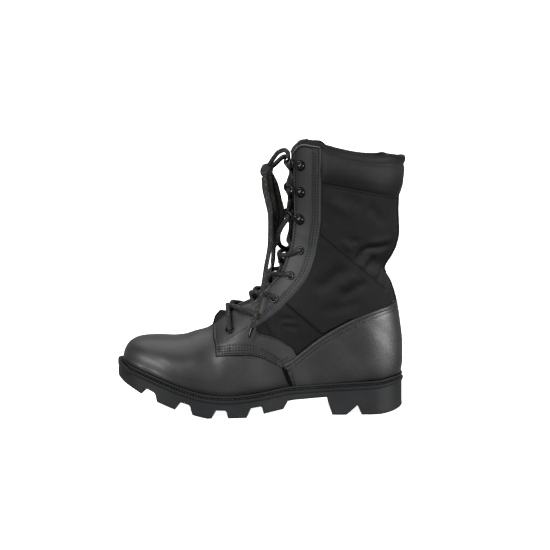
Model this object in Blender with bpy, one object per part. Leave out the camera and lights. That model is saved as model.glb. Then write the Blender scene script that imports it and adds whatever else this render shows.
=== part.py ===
"""Tactical boot for the left foot: moulded lug sole, leather foot, cloth shaft, laced throat.

Frame: metres, +Z up. The toe points to -X, the lateral (outer) side faces -Y.
The origin lies on the floor under the middle of the boot's box.
Tables and named sizes are in millimetres and are scaled by MM where a mesh is made.
"""
import math
from bisect import bisect_right
from collections import namedtuple
from functools import lru_cache

import bmesh
import bpy
from mathutils import Matrix, Vector

MM = 0.001
JOIN_DISTANCE = 5e-6

# Driving sizes of the sole
TOE_X, HEEL_X = -152.0, 152.0
TOE_ROUND_X, HEEL_ROUND_X = -85.0, 112.0
HEEL_ROUND_POWER = 2.2
WELT_THICKNESS = 3.0
WELT_INSET = 1.0
WELT_BAND = 10.0
SEAT_GAP = 0.3
LUG_DEPTH = 8.5
GROOVE_ROOT, GROOVE_MOUTH = 11.0, 19.0
GROOVE_SWEEP = math.radians(7)
CUTTER_REACH, CUTTER_DEPTH = 56.0, 30.0
INSOLE_INSET, INSOLE_RISE = 11.6, 4.0

# Driving sizes of the upper
WALL = 2.4
UPPER_SEAT = 0.95
CUFF_PADDING = 2.4
CUFF_EDGE, CUFF_SWELL, CUFF_ROUNDNESS = 0.6, 1.8, 0.6
TOE_CAP_X, TOE_CAP_REACH = -128.0, 19.6
LAST_TOE_ROUND = 62.6
OVERLAY_GAP, OVERLAY_THICKNESS = 0.9, 1.3
COUNTER_GAP, ANKLE_GAP, PANEL_THICKNESS = 1.15, 1.2, 0.8
PANEL_SPACING, LEG_RADIUS = 0.6, 40.0
CORNER_DROP, CORNER_SHARE, EYESTAY_CORNER_SHARE = 0.52, 0.16, 0.3
TONGUE_SLACK, TONGUE_THICKNESS, TONGUE_SPREAD = 1.2, 2.4, 6.0
TONGUE_SINK, TONGUE_FOLD = 2.6, 11.0
TONGUE_TOP_SIGMA, TONGUE_TIP_DIP, TONGUE_TIP_RISE = 28.0, 0.3, 0.45
TONGUE_SINK_SIGMAS, TONGUE_FOLD_SIGMAS, TONGUE_TIP_SIGMA = (7.5, 8.2), (6.5, 7.4), 26.6
TONGUE_SIGMAS = [6.1, 6.4, 6.8, 7.5, 8.2, 9, 9.8, 10.6, 11.4, 12.2, 12.9, 13.6, 14.5, 16, 18, 20, 22.2,
                 25, TONGUE_TIP_SIGMA]

# Driving sizes of the hardware and the lace
EYELET_OUTER, EYELET_INNER, EYELET_HEIGHT, EYELET_SEAT = 4.6, 2.4, 1.2, 0.7
HOOK_DOME_RADIUS, HOOK_DOME_HEIGHT, HOOK_TAB_WIDTH, HOOK_TAB_THICKNESS = 5.4, 3.8, 6.4, 1.6
HOOK_RING_RADIUS, HOOK_RING_WIRE, HOOK_REACH, HOOK_SEAT, HOOK_DOME_FOOT = 4.3, 1.1, 13.5, 0.35, 0.05
LACE_RADIUS = 2.2
LACE_LIFT = OVERLAY_GAP + OVERLAY_THICKNESS + LACE_RADIUS + 0.9
LACE_EYELET_RISE = 2.4
CORD_SPACING = 10.5
HOOK_LEVEL_SIGMA, HOOK_CLEARANCE = 20.0, 11.5
EDGE_CLEARANCE, STRAND_START, LACE_SAG, LACE_PADDING_SHARE = 3.0, 0.3, 9.3, 0.6
PROBE_STEP = 0.02

SoleStation = namedtuple("SoleStation", "x centre half top tip")
SOLE = [
    SoleStation(-152, 2.6, 52.5, 56.9, 36.5),
    SoleStation(-142, 3.0, 52.5, 53.2, 31.2),
    SoleStation(-127, 2.9, 52.5, 48.7, 24.0),
    SoleStation(-109, 1.9, 52.5, 42.2, 16.5),
    SoleStation(-92, 0.9, 52.5, 35.5, 9.8),
    SoleStation(-72, -0.4, 52.4, 28.6, 3.6),
    SoleStation(-58, -1.4, 51.9, 25.2, 0.0),
    SoleStation(-36, -2.9, 49.9, 23.4, 0.0),
    SoleStation(-15, -3.9, 47.0, 24.8, 0.0),
    SoleStation(2, -4.5, 44.0, 27.2, 4.0),
    SoleStation(22, -4.4, 40.8, 30.8, 8.2),
    SoleStation(27, -4.2, 40.1, 31.6, 17.0),
    SoleStation(69, -1.7, 38.0, 33.7, 19.4),
    SoleStation(73.6, -1.5, 38.0, 33.9, 0.0),
    SoleStation(124, -0.2, 38.8, 36.6, 0.0),
    SoleStation(138, 0.0, 38.9, 39.0, 2.0),
    SoleStation(152, 0.0, 38.9, 40.6, 5.0),
]
STATION_STEPS_TOE, STATION_STEPS_HEEL = 9, 7

SolePlane = namedtuple("SolePlane", "inset below_top above_tip")
SOLE_SIDE = [
    SolePlane(1.6, 0.0, None),
    SolePlane(0.3, 0.9, None),
    SolePlane(0.0, 2.2, None),
    SolePlane(0.0, 4.2, None),
    SolePlane(1.3, 5.0, None),
    SolePlane(0.9, None, 1.6),
    SolePlane(2.2, None, 0.0),
]

Groove = namedtuple("Groove", "edge_x root_z")
GROOVES = [Groove(-118.0, 29.0), Groove(-82.0, 16.5), Groove(-44.3, 8.7), Groove(-7.3, 11.0)]
HEEL_NOTCH = [(86.0, -2.0), (95.0, 6.0), (100.5, 10.8), (103.0, 7.0), (105.0, -2.0)]

# Sections of the upper from the toe cap's rear edge to the collar. Each lies in a plane across the
# boot, from its top point on the instep to its low point under the sole or on the back of the leg.
Section = namedtuple("Section", "top_x top_z low_x low_z centre half widest top_power low_power gap")
SECTIONS = [
    Section(-128, 79.8, -128, 36.7, 2.8, 34.5, 0.569, 2.3, 3.8, 0),
    Section(-108, 80.6, -108, 29.6, 1.8, 44.2, 0.601, 2.2, 3.8, 0),
    Section(-95, 79.8, -95, 24.6, 1, 46.8, 0.616, 2.1, 3.8, 0),
    Section(-82, 81.3, -82, 19.9, 0.2, 47.4, 0.632, 2, 3.8, 0),
    Section(-70, 85.2, -70, 16.1, -0.5, 47.2, 0.648, 1.9, 3.8, 0),
    Section(-58, 88.8, -58, 13.2, -1.4, 46.6, 0.663, 1.8, 3.8, 0),
    Section(-50, 94, -47, 11.6, -2, 45.8, 0.676, 1.75, 3.8, 6),
    Section(-40, 104.4, -34, 11.4, -2.9, 44.4, 0.69, 1.75, 3.8, 9),
    Section(-25.5, 115.6, -10, 13.3, -3.9, 41, 0.705, 1.85, 3.8, 12),
    Section(-10.3, 124.8, 25, 19.2, -3.9, 36.6, 0.735, 2.1, 3.8, 15),
    Section(1, 137.8, 65, 21.5, -1.7, 35.2, 0.739, 2.4, 3.8, 17),
    Section(8.9, 146.9, 105, 23.6, -0.5, 35.6, 0.694, 2.6, 3.4, 18),
    Section(14.6, 154.1, 134, 27, 0, 35.2, 0.627, 2.7, 3.2, 18.8),
    Section(16.6, 160.4, 147.3, 41.4, 0, 35, 0.61, 2.7, 2.6, 19.3),
    Section(18.1, 166.7, 149.6, 57, 0, 34.8, 0.58, 2.6, 2.5, 19.7),
    Section(20, 172.5, 149.4, 74, 0, 34.5, 0.55, 2.6, 2.4, 20.1),
    Section(21.8, 177.7, 146.6, 97, 0, 34.4, 0.53, 2.5, 2.4, 20.5),
    Section(22.8, 183, 142.9, 119, 0, 34.7, 0.52, 2.4, 2.3, 20.9),
    Section(23.8, 189, 137.4, 137, 0, 35.4, 0.51, 2.3, 2.3, 21.2),
    Section(24.9, 196, 130.4, 153, 0, 36.4, 0.5, 2.2, 2.3, 21.5),
    Section(25.7, 202.3, 137.3, 166, 0, 37.8, 0.5, 2.2, 2.3, 21.8),
    Section(26.2, 209, 142.6, 178, 0, 39.4, 0.5, 2.2, 2.3, 22.1),
    Section(26.8, 217.5, 144.8, 191, 0, 41, 0.5, 2.2, 2.3, 22.4),
    Section(27, 228, 144.3, 203, 0, 42.4, 0.5, 2.2, 2.3, 22.7),
    Section(27, 239, 143.8, 215, 0, 43.6, 0.5, 2.2, 2.3, 23),
    Section(27, 251, 144.2, 228.5, 0, 44.6, 0.5, 2.2, 2.3, 23.3),
    Section(27, 266, 146.4, 245, 0, 45.6, 0.5, 2.2, 2.3, 23.6),
    Section(27, 288.2, 150.3, 268.6, 0, 45.8, 0.5, 2.2, 2.3, 24),
    Section(27, 311, 151.3, 290, 0, 46, 0.5, 2.2, 2.3, 24),
]
THROAT_SIGMA = 6.4
COLLAR_SIGMA = 28.0
CUFF_SIGMA = 26.05
VAMP_END_SIGMA = 7.05
EYESTAY_FOOT_SIGMA = 9.35
EYESTAY_SIGMAS = [9.8, 10.2, 10.6, 11, 11.4, 11.8, 12.2, 12.6, 12.9, 13.6, 14.5, 16, 18, 20, 22.2, 25]
FACING_TAIL_SIGMA, FACING_CORNER_STEP = 10.75, 0.13
FACING_EYESTAY_GAP, FACING_COUNTER_GAP = 0.02, 0.012
COUNTER_FRONT_SIGMA = 10.22
COUNTER_BACK_SIGMA = 17.9
HEEL_SEAT_SIGMA, HEEL_SEAT_SPREAD = 13.92, 0.4
COUNTER_COLUMNS, COUNTER_ROWS, COUNTER_CROWDING = 17, 5, 1.8

# Panel edges seen from the side, as x and z
EYESTAY_REAR = [(-8, 94), (9.7, 105.5), (23.6, 117.3), (37.5, 131.9), (47.1, 145.8), (52.6, 160),
                (56, 173.7), (58.1, 187.6), (60, 205), (60.3, 300)]
FACING_LOWER = [(-60, 63.0), (-34, 65.0), (-15.6, 65.2), (-1, 62.0), (10, 56.4), (21, 50.0), (31, 32.0)]
FACING_UPPER = [(-60, 86.0), (-20, 90.5), (-9, 89.0), (2.7, 86.7), (17.2, 81.5), (28.1, 74.1), (37, 66.5),
                (50, 55.0)]
COUNTER_TOP = [(15, 47.5), (20.6, 52.4), (37.9, 65.2), (61.5, 83.2), (72, 89.6), (93.7, 101.0),
               (120.8, 111.2), (145, 117.5), (160, 120)]
ANKLE_UPPER = [(20, 225.0), (60, 191.4), (95.7, 161.4), (129.4, 133.1), (150, 115.8)]
ANKLE_LOWER = [(0, 136.9), (24.9, 116.2), (63.3, 84.2), (90, 62.0)]
ANKLE_FRONT_X, ANKLE_BACK_X, ANKLE_LOW_X, ANKLE_HEEL_X = 61.5, 131.5, 27.0, 138.5
ANKLE_COLUMNS, ANKLE_ROWS = 10, 5
BACKSTAY_HALF = 6.5
BACK_SIGMAS = [18, 18.7, 19.4, 20, 20.6, 21.3, 22.2, 23.5, 25]

HOOK_PLACES = [(38.9, 205.8), (39.5, 234.3), (39.4, 261.8)]
EYELET_PLACES = [(-34.2, 90.9), (-7.0, 105.2), (12.4, 122.9), (29.2, 146.9), (39.1, 173.3)]

# Routes of the free lace, in millimetres
LACE_ROUTES = {
    "lace_rise_lateral": [(27.4, -23.6, 269.3), (26.9, -21.4, 275.2), (23.4, -16.8, 278.2),
                          (17.8, -12.0, 275.4), (13.2, -8.4, 269.5), (8.8, -4.2, 262.9)],
    "lace_rise_medial": [(27.4, 23.4, 269.7), (24.8, 19.5, 272.6), (20.2, 13.5, 270.6), (15.4, 7.8, 266.2),
                         (10.1, 2.9, 261.1)],
    "lace_loop_lateral": [(2.3, -4.2, 248.5), (2.9, -6.0, 237.7), (5.1, -8.5, 224.5), (6.9, -11.0, 208.0),
                          (7.5, -12.0, 192.0), (9.1, -11.5, 179.5), (13.3, -9.0, 176.0), (15.1, -7.4, 181.0),
                          (14.7, -7.0, 194.0), (13.7, -6.6, 210.0), (12.5, -5.8, 226.0), (10.7, -5.0, 238.0),
                          (9.3, -4.4, 248.0)],
    "lace_loop_medial": [(11.7, 3.9, 251.1), (16.6, 6.5, 240.0), (19.0, 8.0, 224.0), (20.2, 9.0, 209.8),
                         (20.2, 9.5, 199.0), (18.4, 9.5, 189.0), (16.2, 9.0, 182.0), (13.8, 8.6, 179.6),
                         (11.4, 8.2, 184.0), (10.6, 7.6, 196.0), (10.8, 7.4, 212.0), (10.0, 6.6, 228.0),
                         (8.0, 5.8, 239.0), (7.0, 5.0, 249.7)],
    "lace_end_long": [(3.5, -9.0, 250.8), (4.7, -13.4, 237.0), (7.5, -18.5, 216.2), (7.1, -25.0, 181.9),
                      (4.0, -31.0, 155.9), (1.0, -36.5, 137.5), (-5.5, -43.5, 113.1), (-14.2, -49.0, 84.5)],
    "lace_end_short": [(5.5, 0.2, 247.9), (6.2, 0.0, 232.0), (6.8, -0.5, 215.0), (8.0, -1.0, 198.0),
                       (9.8, -3.0, 178.0), (8.8, -5.0, 167.0), (6.4, -6.5, 154.0)],
}
KNOT_CENTRE, KNOT_RADII = (6.6, -1.6, 255.8), (6.6, 7.6, 7.4)
SIDES = {"lateral": -1, "medial": 1}


def clamp(value, low, high):
    return max(low, min(high, value))


def ease(start, end, value):
    """0 before start, 1 after end, and a smooth step between them."""
    t = clamp((value - start) / (end - start), 0.0, 1.0)
    return t * t * (3 - 2 * t)


def smooth_curve(xs, ys):
    """A monotone cubic through the points, straight beyond its ends, as a function of x."""
    last = len(xs) - 1
    steps = [(ys[i + 1] - ys[i]) / (xs[i + 1] - xs[i]) for i in range(last)]
    slopes = [steps[0]]
    for before, after in zip(steps, steps[1:]):
        slopes.append(0.0 if before * after <= 0 else 2 * before * after / (before + after))
    slopes.append(steps[-1])

    def curve(x):
        if x <= xs[0]:
            return ys[0] + steps[0] * (x - xs[0])
        if x >= xs[last]:
            return ys[last] + steps[-1] * (x - xs[last])
        i = bisect_right(xs, x) - 1
        h = xs[i + 1] - xs[i]
        t = (x - xs[i]) / h
        rest = 1 - t
        return (ys[i] * (1 + 2 * t) * rest * rest + slopes[i] * h * t * rest * rest
                + ys[i + 1] * t * t * (3 - 2 * t) - slopes[i + 1] * h * t * t * rest)

    return curve


def sole_value(column, x):
    """One column of the sole table at x, straight between its rows."""
    x = clamp(x, TOE_X, HEEL_X)
    for a, b in zip(SOLE, SOLE[1:]):
        if x <= b.x:
            share = (x - a.x) / (b.x - a.x)
            return getattr(a, column) * (1 - share) + getattr(b, column) * share
    return getattr(SOLE[-1], column)


SOLE_CURVES = {name: smooth_curve([row.x for row in SOLE], [getattr(row, name) for row in SOLE])
               for name in ("centre", "half", "top")}


def sole_curve(column, x):
    """One column of the sole table at x, on a smooth curve."""
    return SOLE_CURVES[column](clamp(x, TOE_X, HEEL_X))


def feather(x):
    """Height of the welt's top, where the upper meets the sole."""
    return sole_curve("top", x)


def sole_half(x):
    """Half width of the sole: the table's width, rounded off at toe and heel."""
    half = sole_curve("half", x)
    if x < TOE_ROUND_X:
        u = (x - TOE_ROUND_X) / (TOE_X - TOE_ROUND_X)
        half *= math.sqrt(max(0.0, 1 - u * u))
    if x > HEEL_ROUND_X:
        u = (x - HEEL_ROUND_X) / (HEEL_X - HEEL_ROUND_X)
        half *= max(0.0, 1 - u ** HEEL_ROUND_POWER) ** (1 / HEEL_ROUND_POWER)
    return half


def side_stations():
    """x of the sole's cross stations: close together round the toe and the heel."""
    toe = [TOE_ROUND_X + (TOE_X - TOE_ROUND_X) * math.cos(i / STATION_STEPS_TOE * math.pi / 2)
           for i in range(STATION_STEPS_TOE)]
    heel = [HEEL_ROUND_X + (HEEL_X - HEEL_ROUND_X) * math.sin(i / STATION_STEPS_HEEL * math.pi / 2)
            for i in range(1, STATION_STEPS_HEEL + 1)]
    middle = [-80, -72, -65, -58, -47, -36, -26, -15, -6, 2, 12, 22, 27, 40, 55, 69, 73.6, 86, 100, 112]
    return toe + middle + heel


def outline(inset):
    """The sole's outline as a closed loop: toe to heel on the lateral side, back on the medial."""
    xs = side_stations()
    loop = [(x, sole_curve("centre", x) - sole_half(x)) for x in xs]
    loop += [(x, sole_curve("centre", x) + sole_half(x)) for x in reversed(xs[1:-1])]
    moved = []
    for i, (x, y) in enumerate(loop):
        ax, ay = loop[i - 1]
        bx, by = loop[(i + 1) % len(loop)]
        along = Vector((bx - ax, by - ay)).normalized()
        moved.append((x - along.y * inset, y + along.x * inset))
    return moved


OUTLINE_YS = [y for _, y in outline(0.0)]
Y_SHIFT = -(min(OUTLINE_YS) + max(OUTLINE_YS)) / 2


def place(x, y, z):
    """A point of the tables, in metres, in the part's frame."""
    return Vector((x * MM, (y + Y_SHIFT) * MM, z * MM))


SECTION_CURVES = {name: smooth_curve(range(1, len(SECTIONS) + 1), [getattr(row, name) for row in SECTIONS])
                  for name in Section._fields}


@lru_cache(maxsize=None)
def section(sigma, inset):
    """The upper's section at sigma, moved inwards by inset. From 0 to 1 is the toe cap."""
    at = max(sigma, 1.0)
    row = {name: curve(at) for name, curve in SECTION_CURVES.items()}
    row["half"] -= inset
    top = Vector((row["top_x"], row["top_z"]))
    low = Vector((row["low_x"], row["low_z"]))
    along = (low - top).normalized()
    top += along * inset
    low -= along * inset
    if sigma < 1.0:
        angle = sigma * math.pi / 2
        x = TOE_CAP_X - (TOE_CAP_REACH - inset) * math.cos(angle)
        u = (x - TOE_ROUND_X) / (LAST_TOE_ROUND - inset)
        rear = (TOE_CAP_X - TOE_ROUND_X) / (LAST_TOE_ROUND - inset)
        row["half"] *= math.sqrt(max(0.0, 1 - u * u)) / math.sqrt(1 - rear * rear)
        base = feather(x) + UPPER_SEAT
        top = Vector((x, base + (top.y - base) * math.sin(angle)))
        low = Vector((x, base + (low.y - base) * math.sin(angle)))
    return row, top, low


def upper_point(sigma, phi, side, inset):
    """x, y, z on the upper: phi runs from 0 on the instep to pi under the sole or on the back."""
    row, top, low = section(sigma, inset)
    if phi < math.pi / 2:
        power = 2 / row["top_power"]
        share = row["widest"] * (1 - max(0.0, math.cos(phi)) ** power)
    else:
        power = 2 / row["low_power"]
        share = row["widest"] + (1 - row["widest"]) * max(0.0, -math.cos(phi)) ** power
    spread = row["half"] * max(0.0, math.sin(phi)) ** power
    at = top + (low - top) * share
    return at.x, row["centre"] + side * spread, at.y


def crossing(test, low, high, steps=40):
    """Where test turns from true to false between low and high."""
    for _ in range(steps):
        middle = (low + high) / 2
        if test(middle):
            low = middle
        else:
            high = middle
    return low


def first_crossing(test, low, high, steps=48):
    """The first place from low on where test is no longer true."""
    for i in range(1, steps + 1):
        at = low + (high - low) * i / steps
        if not test(at):
            return crossing(test, low + (high - low) * (i - 1) / steps, at)
    return high


def throat_phi(sigma, inset):
    """phi of the throat's edge."""
    row, _, _ = section(sigma, inset)
    if sigma < THROAT_SIGMA:
        return 0.0
    return math.asin((row["gap"] / row["half"]) ** (row["top_power"] / 2))


def feather_phi(sigma, inset):
    """phi where the wall meets the welt, or pi on the back of the leg."""
    def above(phi):
        x, _, z = upper_point(sigma, phi, 1, inset)
        return z >= feather(x) + UPPER_SEAT
    if sigma >= HEEL_SEAT_SIGMA:
        return math.pi
    most = math.pi - HEEL_SEAT_SPREAD * min(1.0, HEEL_SEAT_SIGMA - sigma)
    return min(most, crossing(above, math.pi / 2, math.pi))


def height_curve(edge):
    """Height of a panel edge as a function of x."""
    return smooth_curve([x for x, _ in edge], [z for _, z in edge])


EYESTAY_REAR_X = smooth_curve([z for _, z in EYESTAY_REAR], [x for x, _ in EYESTAY_REAR])
FACING_LOWER_Z, FACING_UPPER_Z = height_curve(FACING_LOWER), height_curve(FACING_UPPER)
ANKLE_LOWER_Z, ANKLE_UPPER_Z = height_curve(ANKLE_LOWER), height_curve(ANKLE_UPPER)
COUNTER_TOP_Z = height_curve(COUNTER_TOP)


def eyestay_rear_phi(sigma, inset):
    def ahead(phi):
        x, _, z = upper_point(sigma, phi, 1, inset)
        return x < EYESTAY_REAR_X(z)
    return first_crossing(ahead, throat_phi(sigma, inset) + 0.02, math.pi / 2 + 0.6)


def above_edge_phi(edge_z, sigma, inset, start):
    """phi where the section, going down from start, drops below a panel edge."""
    def above(phi):
        x, _, z = upper_point(sigma, phi, 1, inset)
        return z > edge_z(x)
    return first_crossing(above, start, math.pi)


def locate(x, z, side, lift):
    """sigma and phi of the place on the upper that is seen from the side at x and z."""
    sigma, phi = 17.0, 1.2
    for reach in (11.0, 2.0, 0.4, 0.08, 0.015):
        near = [(clamp(sigma + reach * i / 12, 6.5, 28.5), clamp(phi + reach * j / 90, 0.1, 3.1))
                for i in range(-12, 13) for j in range(-12, 13)]

        def miss(at):
            px, _, pz = upper_point(*at, side, -lift)
            return (px - x) ** 2 + (pz - z) ** 2

        sigma, phi = min(near, key=miss)
    return sigma, phi


def back_phi(sigma, inset, reach):
    """phi at a distance of reach from the back seam."""
    row, _, _ = section(sigma, inset)
    return math.pi - math.asin((reach / row["half"]) ** (row["low_power"] / 2))


def strip(sigmas, start, end, inset, columns, side):
    """Rows of points on the upper, between two edges given as functions of sigma and inset."""
    rows = []
    for sigma in sigmas:
        depth = inset(sigma) if callable(inset) else inset
        a, b = start(sigma, depth), end(sigma, depth)
        rows.append([upper_point(sigma, a + (b - a) * j / columns, side, depth)
                     for j in range(columns + 1)])
    return rows


def solid_between(name, outer, inner, material):
    """One closed solid between two sheets of matching strips. Points that coincide are joined."""
    pairs, index, faces = [], {}, []

    def number(o, i):
        key = tuple(round(v, 4) for v in o)
        if key not in index:
            index[key] = len(pairs)
            pairs.append((o, i))
        return index[key]

    for o_rows, i_rows in zip(outer, inner):
        ids = [[number(o, i) for o, i in zip(o_row, i_row)] for o_row, i_row in zip(o_rows, i_rows)]
        for a, b in zip(ids, ids[1:]):
            for k in range(len(a) - 1):
                corners = list(dict.fromkeys((a[k], a[k + 1], b[k + 1], b[k])))
                if len(corners) > 2:
                    faces.append(corners)
    count = len(pairs)
    points = [place(*o) for o, _ in pairs] + [place(*i) for _, i in pairs]
    edges = {}
    for face in faces:
        for a, b in zip(face, face[1:] + face[:1]):
            edges.setdefault(frozenset((a, b)), []).append((a, b))
    rims = [[b, a, a + count, b + count] for (a, b), *more in edges.values() if not more]
    backs = [[v + count for v in reversed(face)] for face in faces]
    return mesh_object(name, points, faces + backs + rims, material)


def mesh_object(name, points, faces, material):
    bm = bmesh.new()
    verts = [bm.verts.new(p) for p in points]
    for face in faces:
        bm.faces.new([verts[v] for v in face])
    bmesh.ops.remove_doubles(bm, verts=bm.verts, dist=JOIN_DISTANCE)
    bmesh.ops.recalc_face_normals(bm, faces=bm.faces)
    return finish_mesh(name, bm, material)


def finish_mesh(name, bm, material):
    mesh = bpy.data.meshes.new(name)
    bm.to_mesh(mesh)
    bm.free()
    mesh.shade_smooth()
    mesh.set_sharp_from_angle(angle=math.radians(35))
    obj = bpy.data.objects.new(name, mesh)
    bpy.context.scene.collection.objects.link(obj)
    mesh.materials.append(material)
    return obj


def make_material(name, colour, roughness, metallic=0.0):
    material = bpy.data.materials.new(name)
    material.use_nodes = True
    shader = material.node_tree.nodes["Principled BSDF"]
    shader.inputs["Base Color"].default_value = (*colour, 1.0)
    shader.inputs["Roughness"].default_value = roughness
    shader.inputs["Metallic"].default_value = metallic
    return material


def both_sides(make):
    """The lateral and the medial strip of a piece that wraps the boot."""
    return [make(side) for side in SIDES.values()]


def spaced(start, end, count):
    return [start + (end - start) * i / count for i in range(count + 1)]


# Sole

def loop_solid(name, levels, closed, material):
    """A solid through stacked loops of points: capped at both ends, or closed into a ring."""
    count = len(levels[0])
    points = [place(*p) for level in levels for p in level]
    faces = []
    last = len(levels)
    for k in range(last if closed else last - 1):
        a, b = k * count, (k + 1) % last * count
        faces += [[a + i, a + (i + 1) % count, b + (i + 1) % count, b + i] for i in range(count)]
    if not closed:
        for base in (0, (last - 1) * count):
            for i in range(count // 2):
                corners = [base + i, base + i + 1, base + (count - i - 1) % count, base + (count - i) % count]
                faces.append(list(dict.fromkeys(corners)))
    return mesh_object(name, points, faces, material)


def sole_top(x):
    """Height of the outsole's upper face, under the welt."""
    return feather(x) - WELT_THICKNESS - SEAT_GAP


def sole_level(plane):
    loop = outline(plane.inset)
    if plane.above_tip is None:
        return [(x, y, sole_top(x) - plane.below_top) for x, y in loop]
    return [(x, y, sole_value("tip", x) + plane.above_tip) for x, y in loop]


def cutter(name, points, faces, target):
    obj = mesh_object(name, points, faces, RUBBER)
    obj.hide_render = True
    obj.display_type = "WIRE"
    cut = target.modifiers.new(name, "BOOLEAN")
    cut.operation = "DIFFERENCE"
    cut.solver = "EXACT"
    cut.object = obj
    return obj


def prism(profile, shear, reach, edge):
    """Points and faces of a profile in x and z, true at the sole's edge, carried across in a chevron."""
    ys = (-reach, 0.0, reach)
    points = [place(x + shear * (edge - abs(y)), y, z) for y in ys for x, z in profile]
    n = len(profile)
    faces = [[k * n + i, k * n + (i + 1) % n, (k + 1) * n + (i + 1) % n, (k + 1) * n + i]
             for k in range(2) for i in range(n)]
    faces += [list(range(n)), list(range(2 * n, 3 * n))]
    return points, faces


def make_outsole():
    sole = loop_solid("outsole", [sole_level(plane) for plane in SOLE_SIDE], False, RUBBER)
    root = GROOVE_ROOT / 2
    foot = root + (GROOVE_MOUTH - GROOVE_ROOT) / 2 / LUG_DEPTH * CUTTER_DEPTH
    for k, (x, z) in enumerate(GROOVES, 1):
        low = z - CUTTER_DEPTH
        profile = [(x - foot, low), (x - root, z), (x + root, z), (x + foot, low)]
        edge = sole_half(x) - sole_curve("centre", x)
        cutter(f"groove_cutter_{k}", *prism(profile, math.tan(GROOVE_SWEEP), CUTTER_REACH, edge), sole)
    cutter("heel_notch_cutter", *prism(HEEL_NOTCH, 0.0, CUTTER_REACH, CUTTER_REACH), sole)
    return sole


def make_welt():
    outer, inner = outline(WELT_INSET), outline(WELT_INSET + WELT_BAND)
    levels = [[(x, y, feather(x) - WELT_THICKNESS) for x, y in outer],
              [(x, y, feather(x)) for x, y in outer],
              [(x, y, feather(x)) for x, y in inner],
              [(x, y, feather(x) - WELT_THICKNESS) for x, y in inner]]
    return loop_solid("welt", levels, True, RUBBER)


def make_insole():
    loop = outline(INSOLE_INSET)
    levels = [[(x, y, sole_top(x) + SEAT_GAP) for x, y in loop],
              [(x, y, feather(x) + INSOLE_RISE) for x, y in loop]]
    return loop_solid("insole", levels, False, LINING)


# Upper

def collar_sigma(sigma, share):
    """sigma near the collar, lowered towards the throat so that the eyestay's corner is round."""
    drop = CORNER_DROP * max(0.0, 1 - share / CORNER_SHARE) ** 2
    return sigma - drop * ease(CUFF_SIGMA, COLLAR_SIGMA, sigma)


def upper_sigmas():
    toe = [0.0, 0.14, 0.3, 0.48, 0.68]
    foot = [1, 2, 3, 4, 5, 5.7, 6.1, THROAT_SIGMA, 6.8]
    leg = [7.5, 8.2, 9, 9.8, 10.6, 11.4, 12.2, 12.9, 13.3, 13.6, 13.8, HEEL_SEAT_SIGMA, 14.5, 15.2, 16, 17]
    leg += BACK_SIGMAS + [26, 26.6, 27.3, COLLAR_SIGMA]
    return toe + foot + leg


def make_upper():
    columns = 9

    def rows(side, depth):
        made = []
        for sigma in upper_sigmas():
            inset = depth * (WALL + CUFF_PADDING * ease(CUFF_SIGMA - 0.5, CUFF_SIGMA + 0.6, sigma))
            row = []
            for j in range(columns + 1):
                at = collar_sigma(sigma, j / columns)
                a, b = throat_phi(at, inset), feather_phi(at, inset)
                row.append(upper_point(at, a + (b - a) * j / columns, side, inset))
            made.append(row)
        return made

    return solid_between("upper", both_sides(lambda s: rows(s, 0)), both_sides(lambda s: rows(s, 1)), CLOTH)


def tongue_padding(sigma):
    """How far the tongue lies deeper behind the padded cuff."""
    return CUFF_PADDING * ease(CUFF_SIGMA - 0.8, CUFF_SIGMA + 0.3, sigma)


def make_tongue():
    sigmas = TONGUE_SIGMAS + [TONGUE_TOP_SIGMA]
    columns = 4

    def rows(side, depth):
        made = []
        for sigma in sigmas:
            row = section(sigma, 0)[0]
            sunk = ease(*TONGUE_SINK_SIGMAS, sigma)
            sink = TONGUE_SINK * sunk
            fold = TONGUE_FOLD * ease(*TONGUE_FOLD_SIGMAS, sigma) * (1 - sunk)
            tip = ease(TONGUE_TIP_SIGMA, TONGUE_TOP_SIGMA, sigma)
            padding = tongue_padding(sigma)
            points = []
            for j in range(columns + 1):
                y = (row["gap"] + TONGUE_SPREAD) * j / columns
                inset = WALL + TONGUE_SLACK + padding + depth * TONGUE_THICKNESS
                if sink or fold:
                    inset += (sink - fold) * (1 - ease(0.0, row["gap"], y))
                half = section(sigma, inset)[0]["half"]
                phi = math.asin((y / half) ** (row["top_power"] / 2))
                rise = (TONGUE_TIP_RISE * (j / columns) ** 2 - TONGUE_TIP_DIP) * tip
                points.append(upper_point(sigma + rise, phi, side, inset))
            made.append(points)
        return made

    return solid_between("tongue", both_sides(lambda s: rows(s, 0)), both_sides(lambda s: rows(s, 1)), LINING)


# Overlays

def overlay(name, sigmas, start, end, columns, sides, material, thickness=OVERLAY_THICKNESS):
    def skin(lift):
        return [strip(sigmas, start, end, lift, columns, side) for side in sides]

    def outside(sigma):
        return -OVERLAY_GAP - (thickness(sigma) if callable(thickness) else thickness)

    return solid_between(name, skin(outside), skin(-OVERLAY_GAP), material)


def on_welt(point):
    """The point, raised where it would reach into the welt."""
    x, y, z = point
    return x, y, max(z, feather(x) + UPPER_SEAT)


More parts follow.
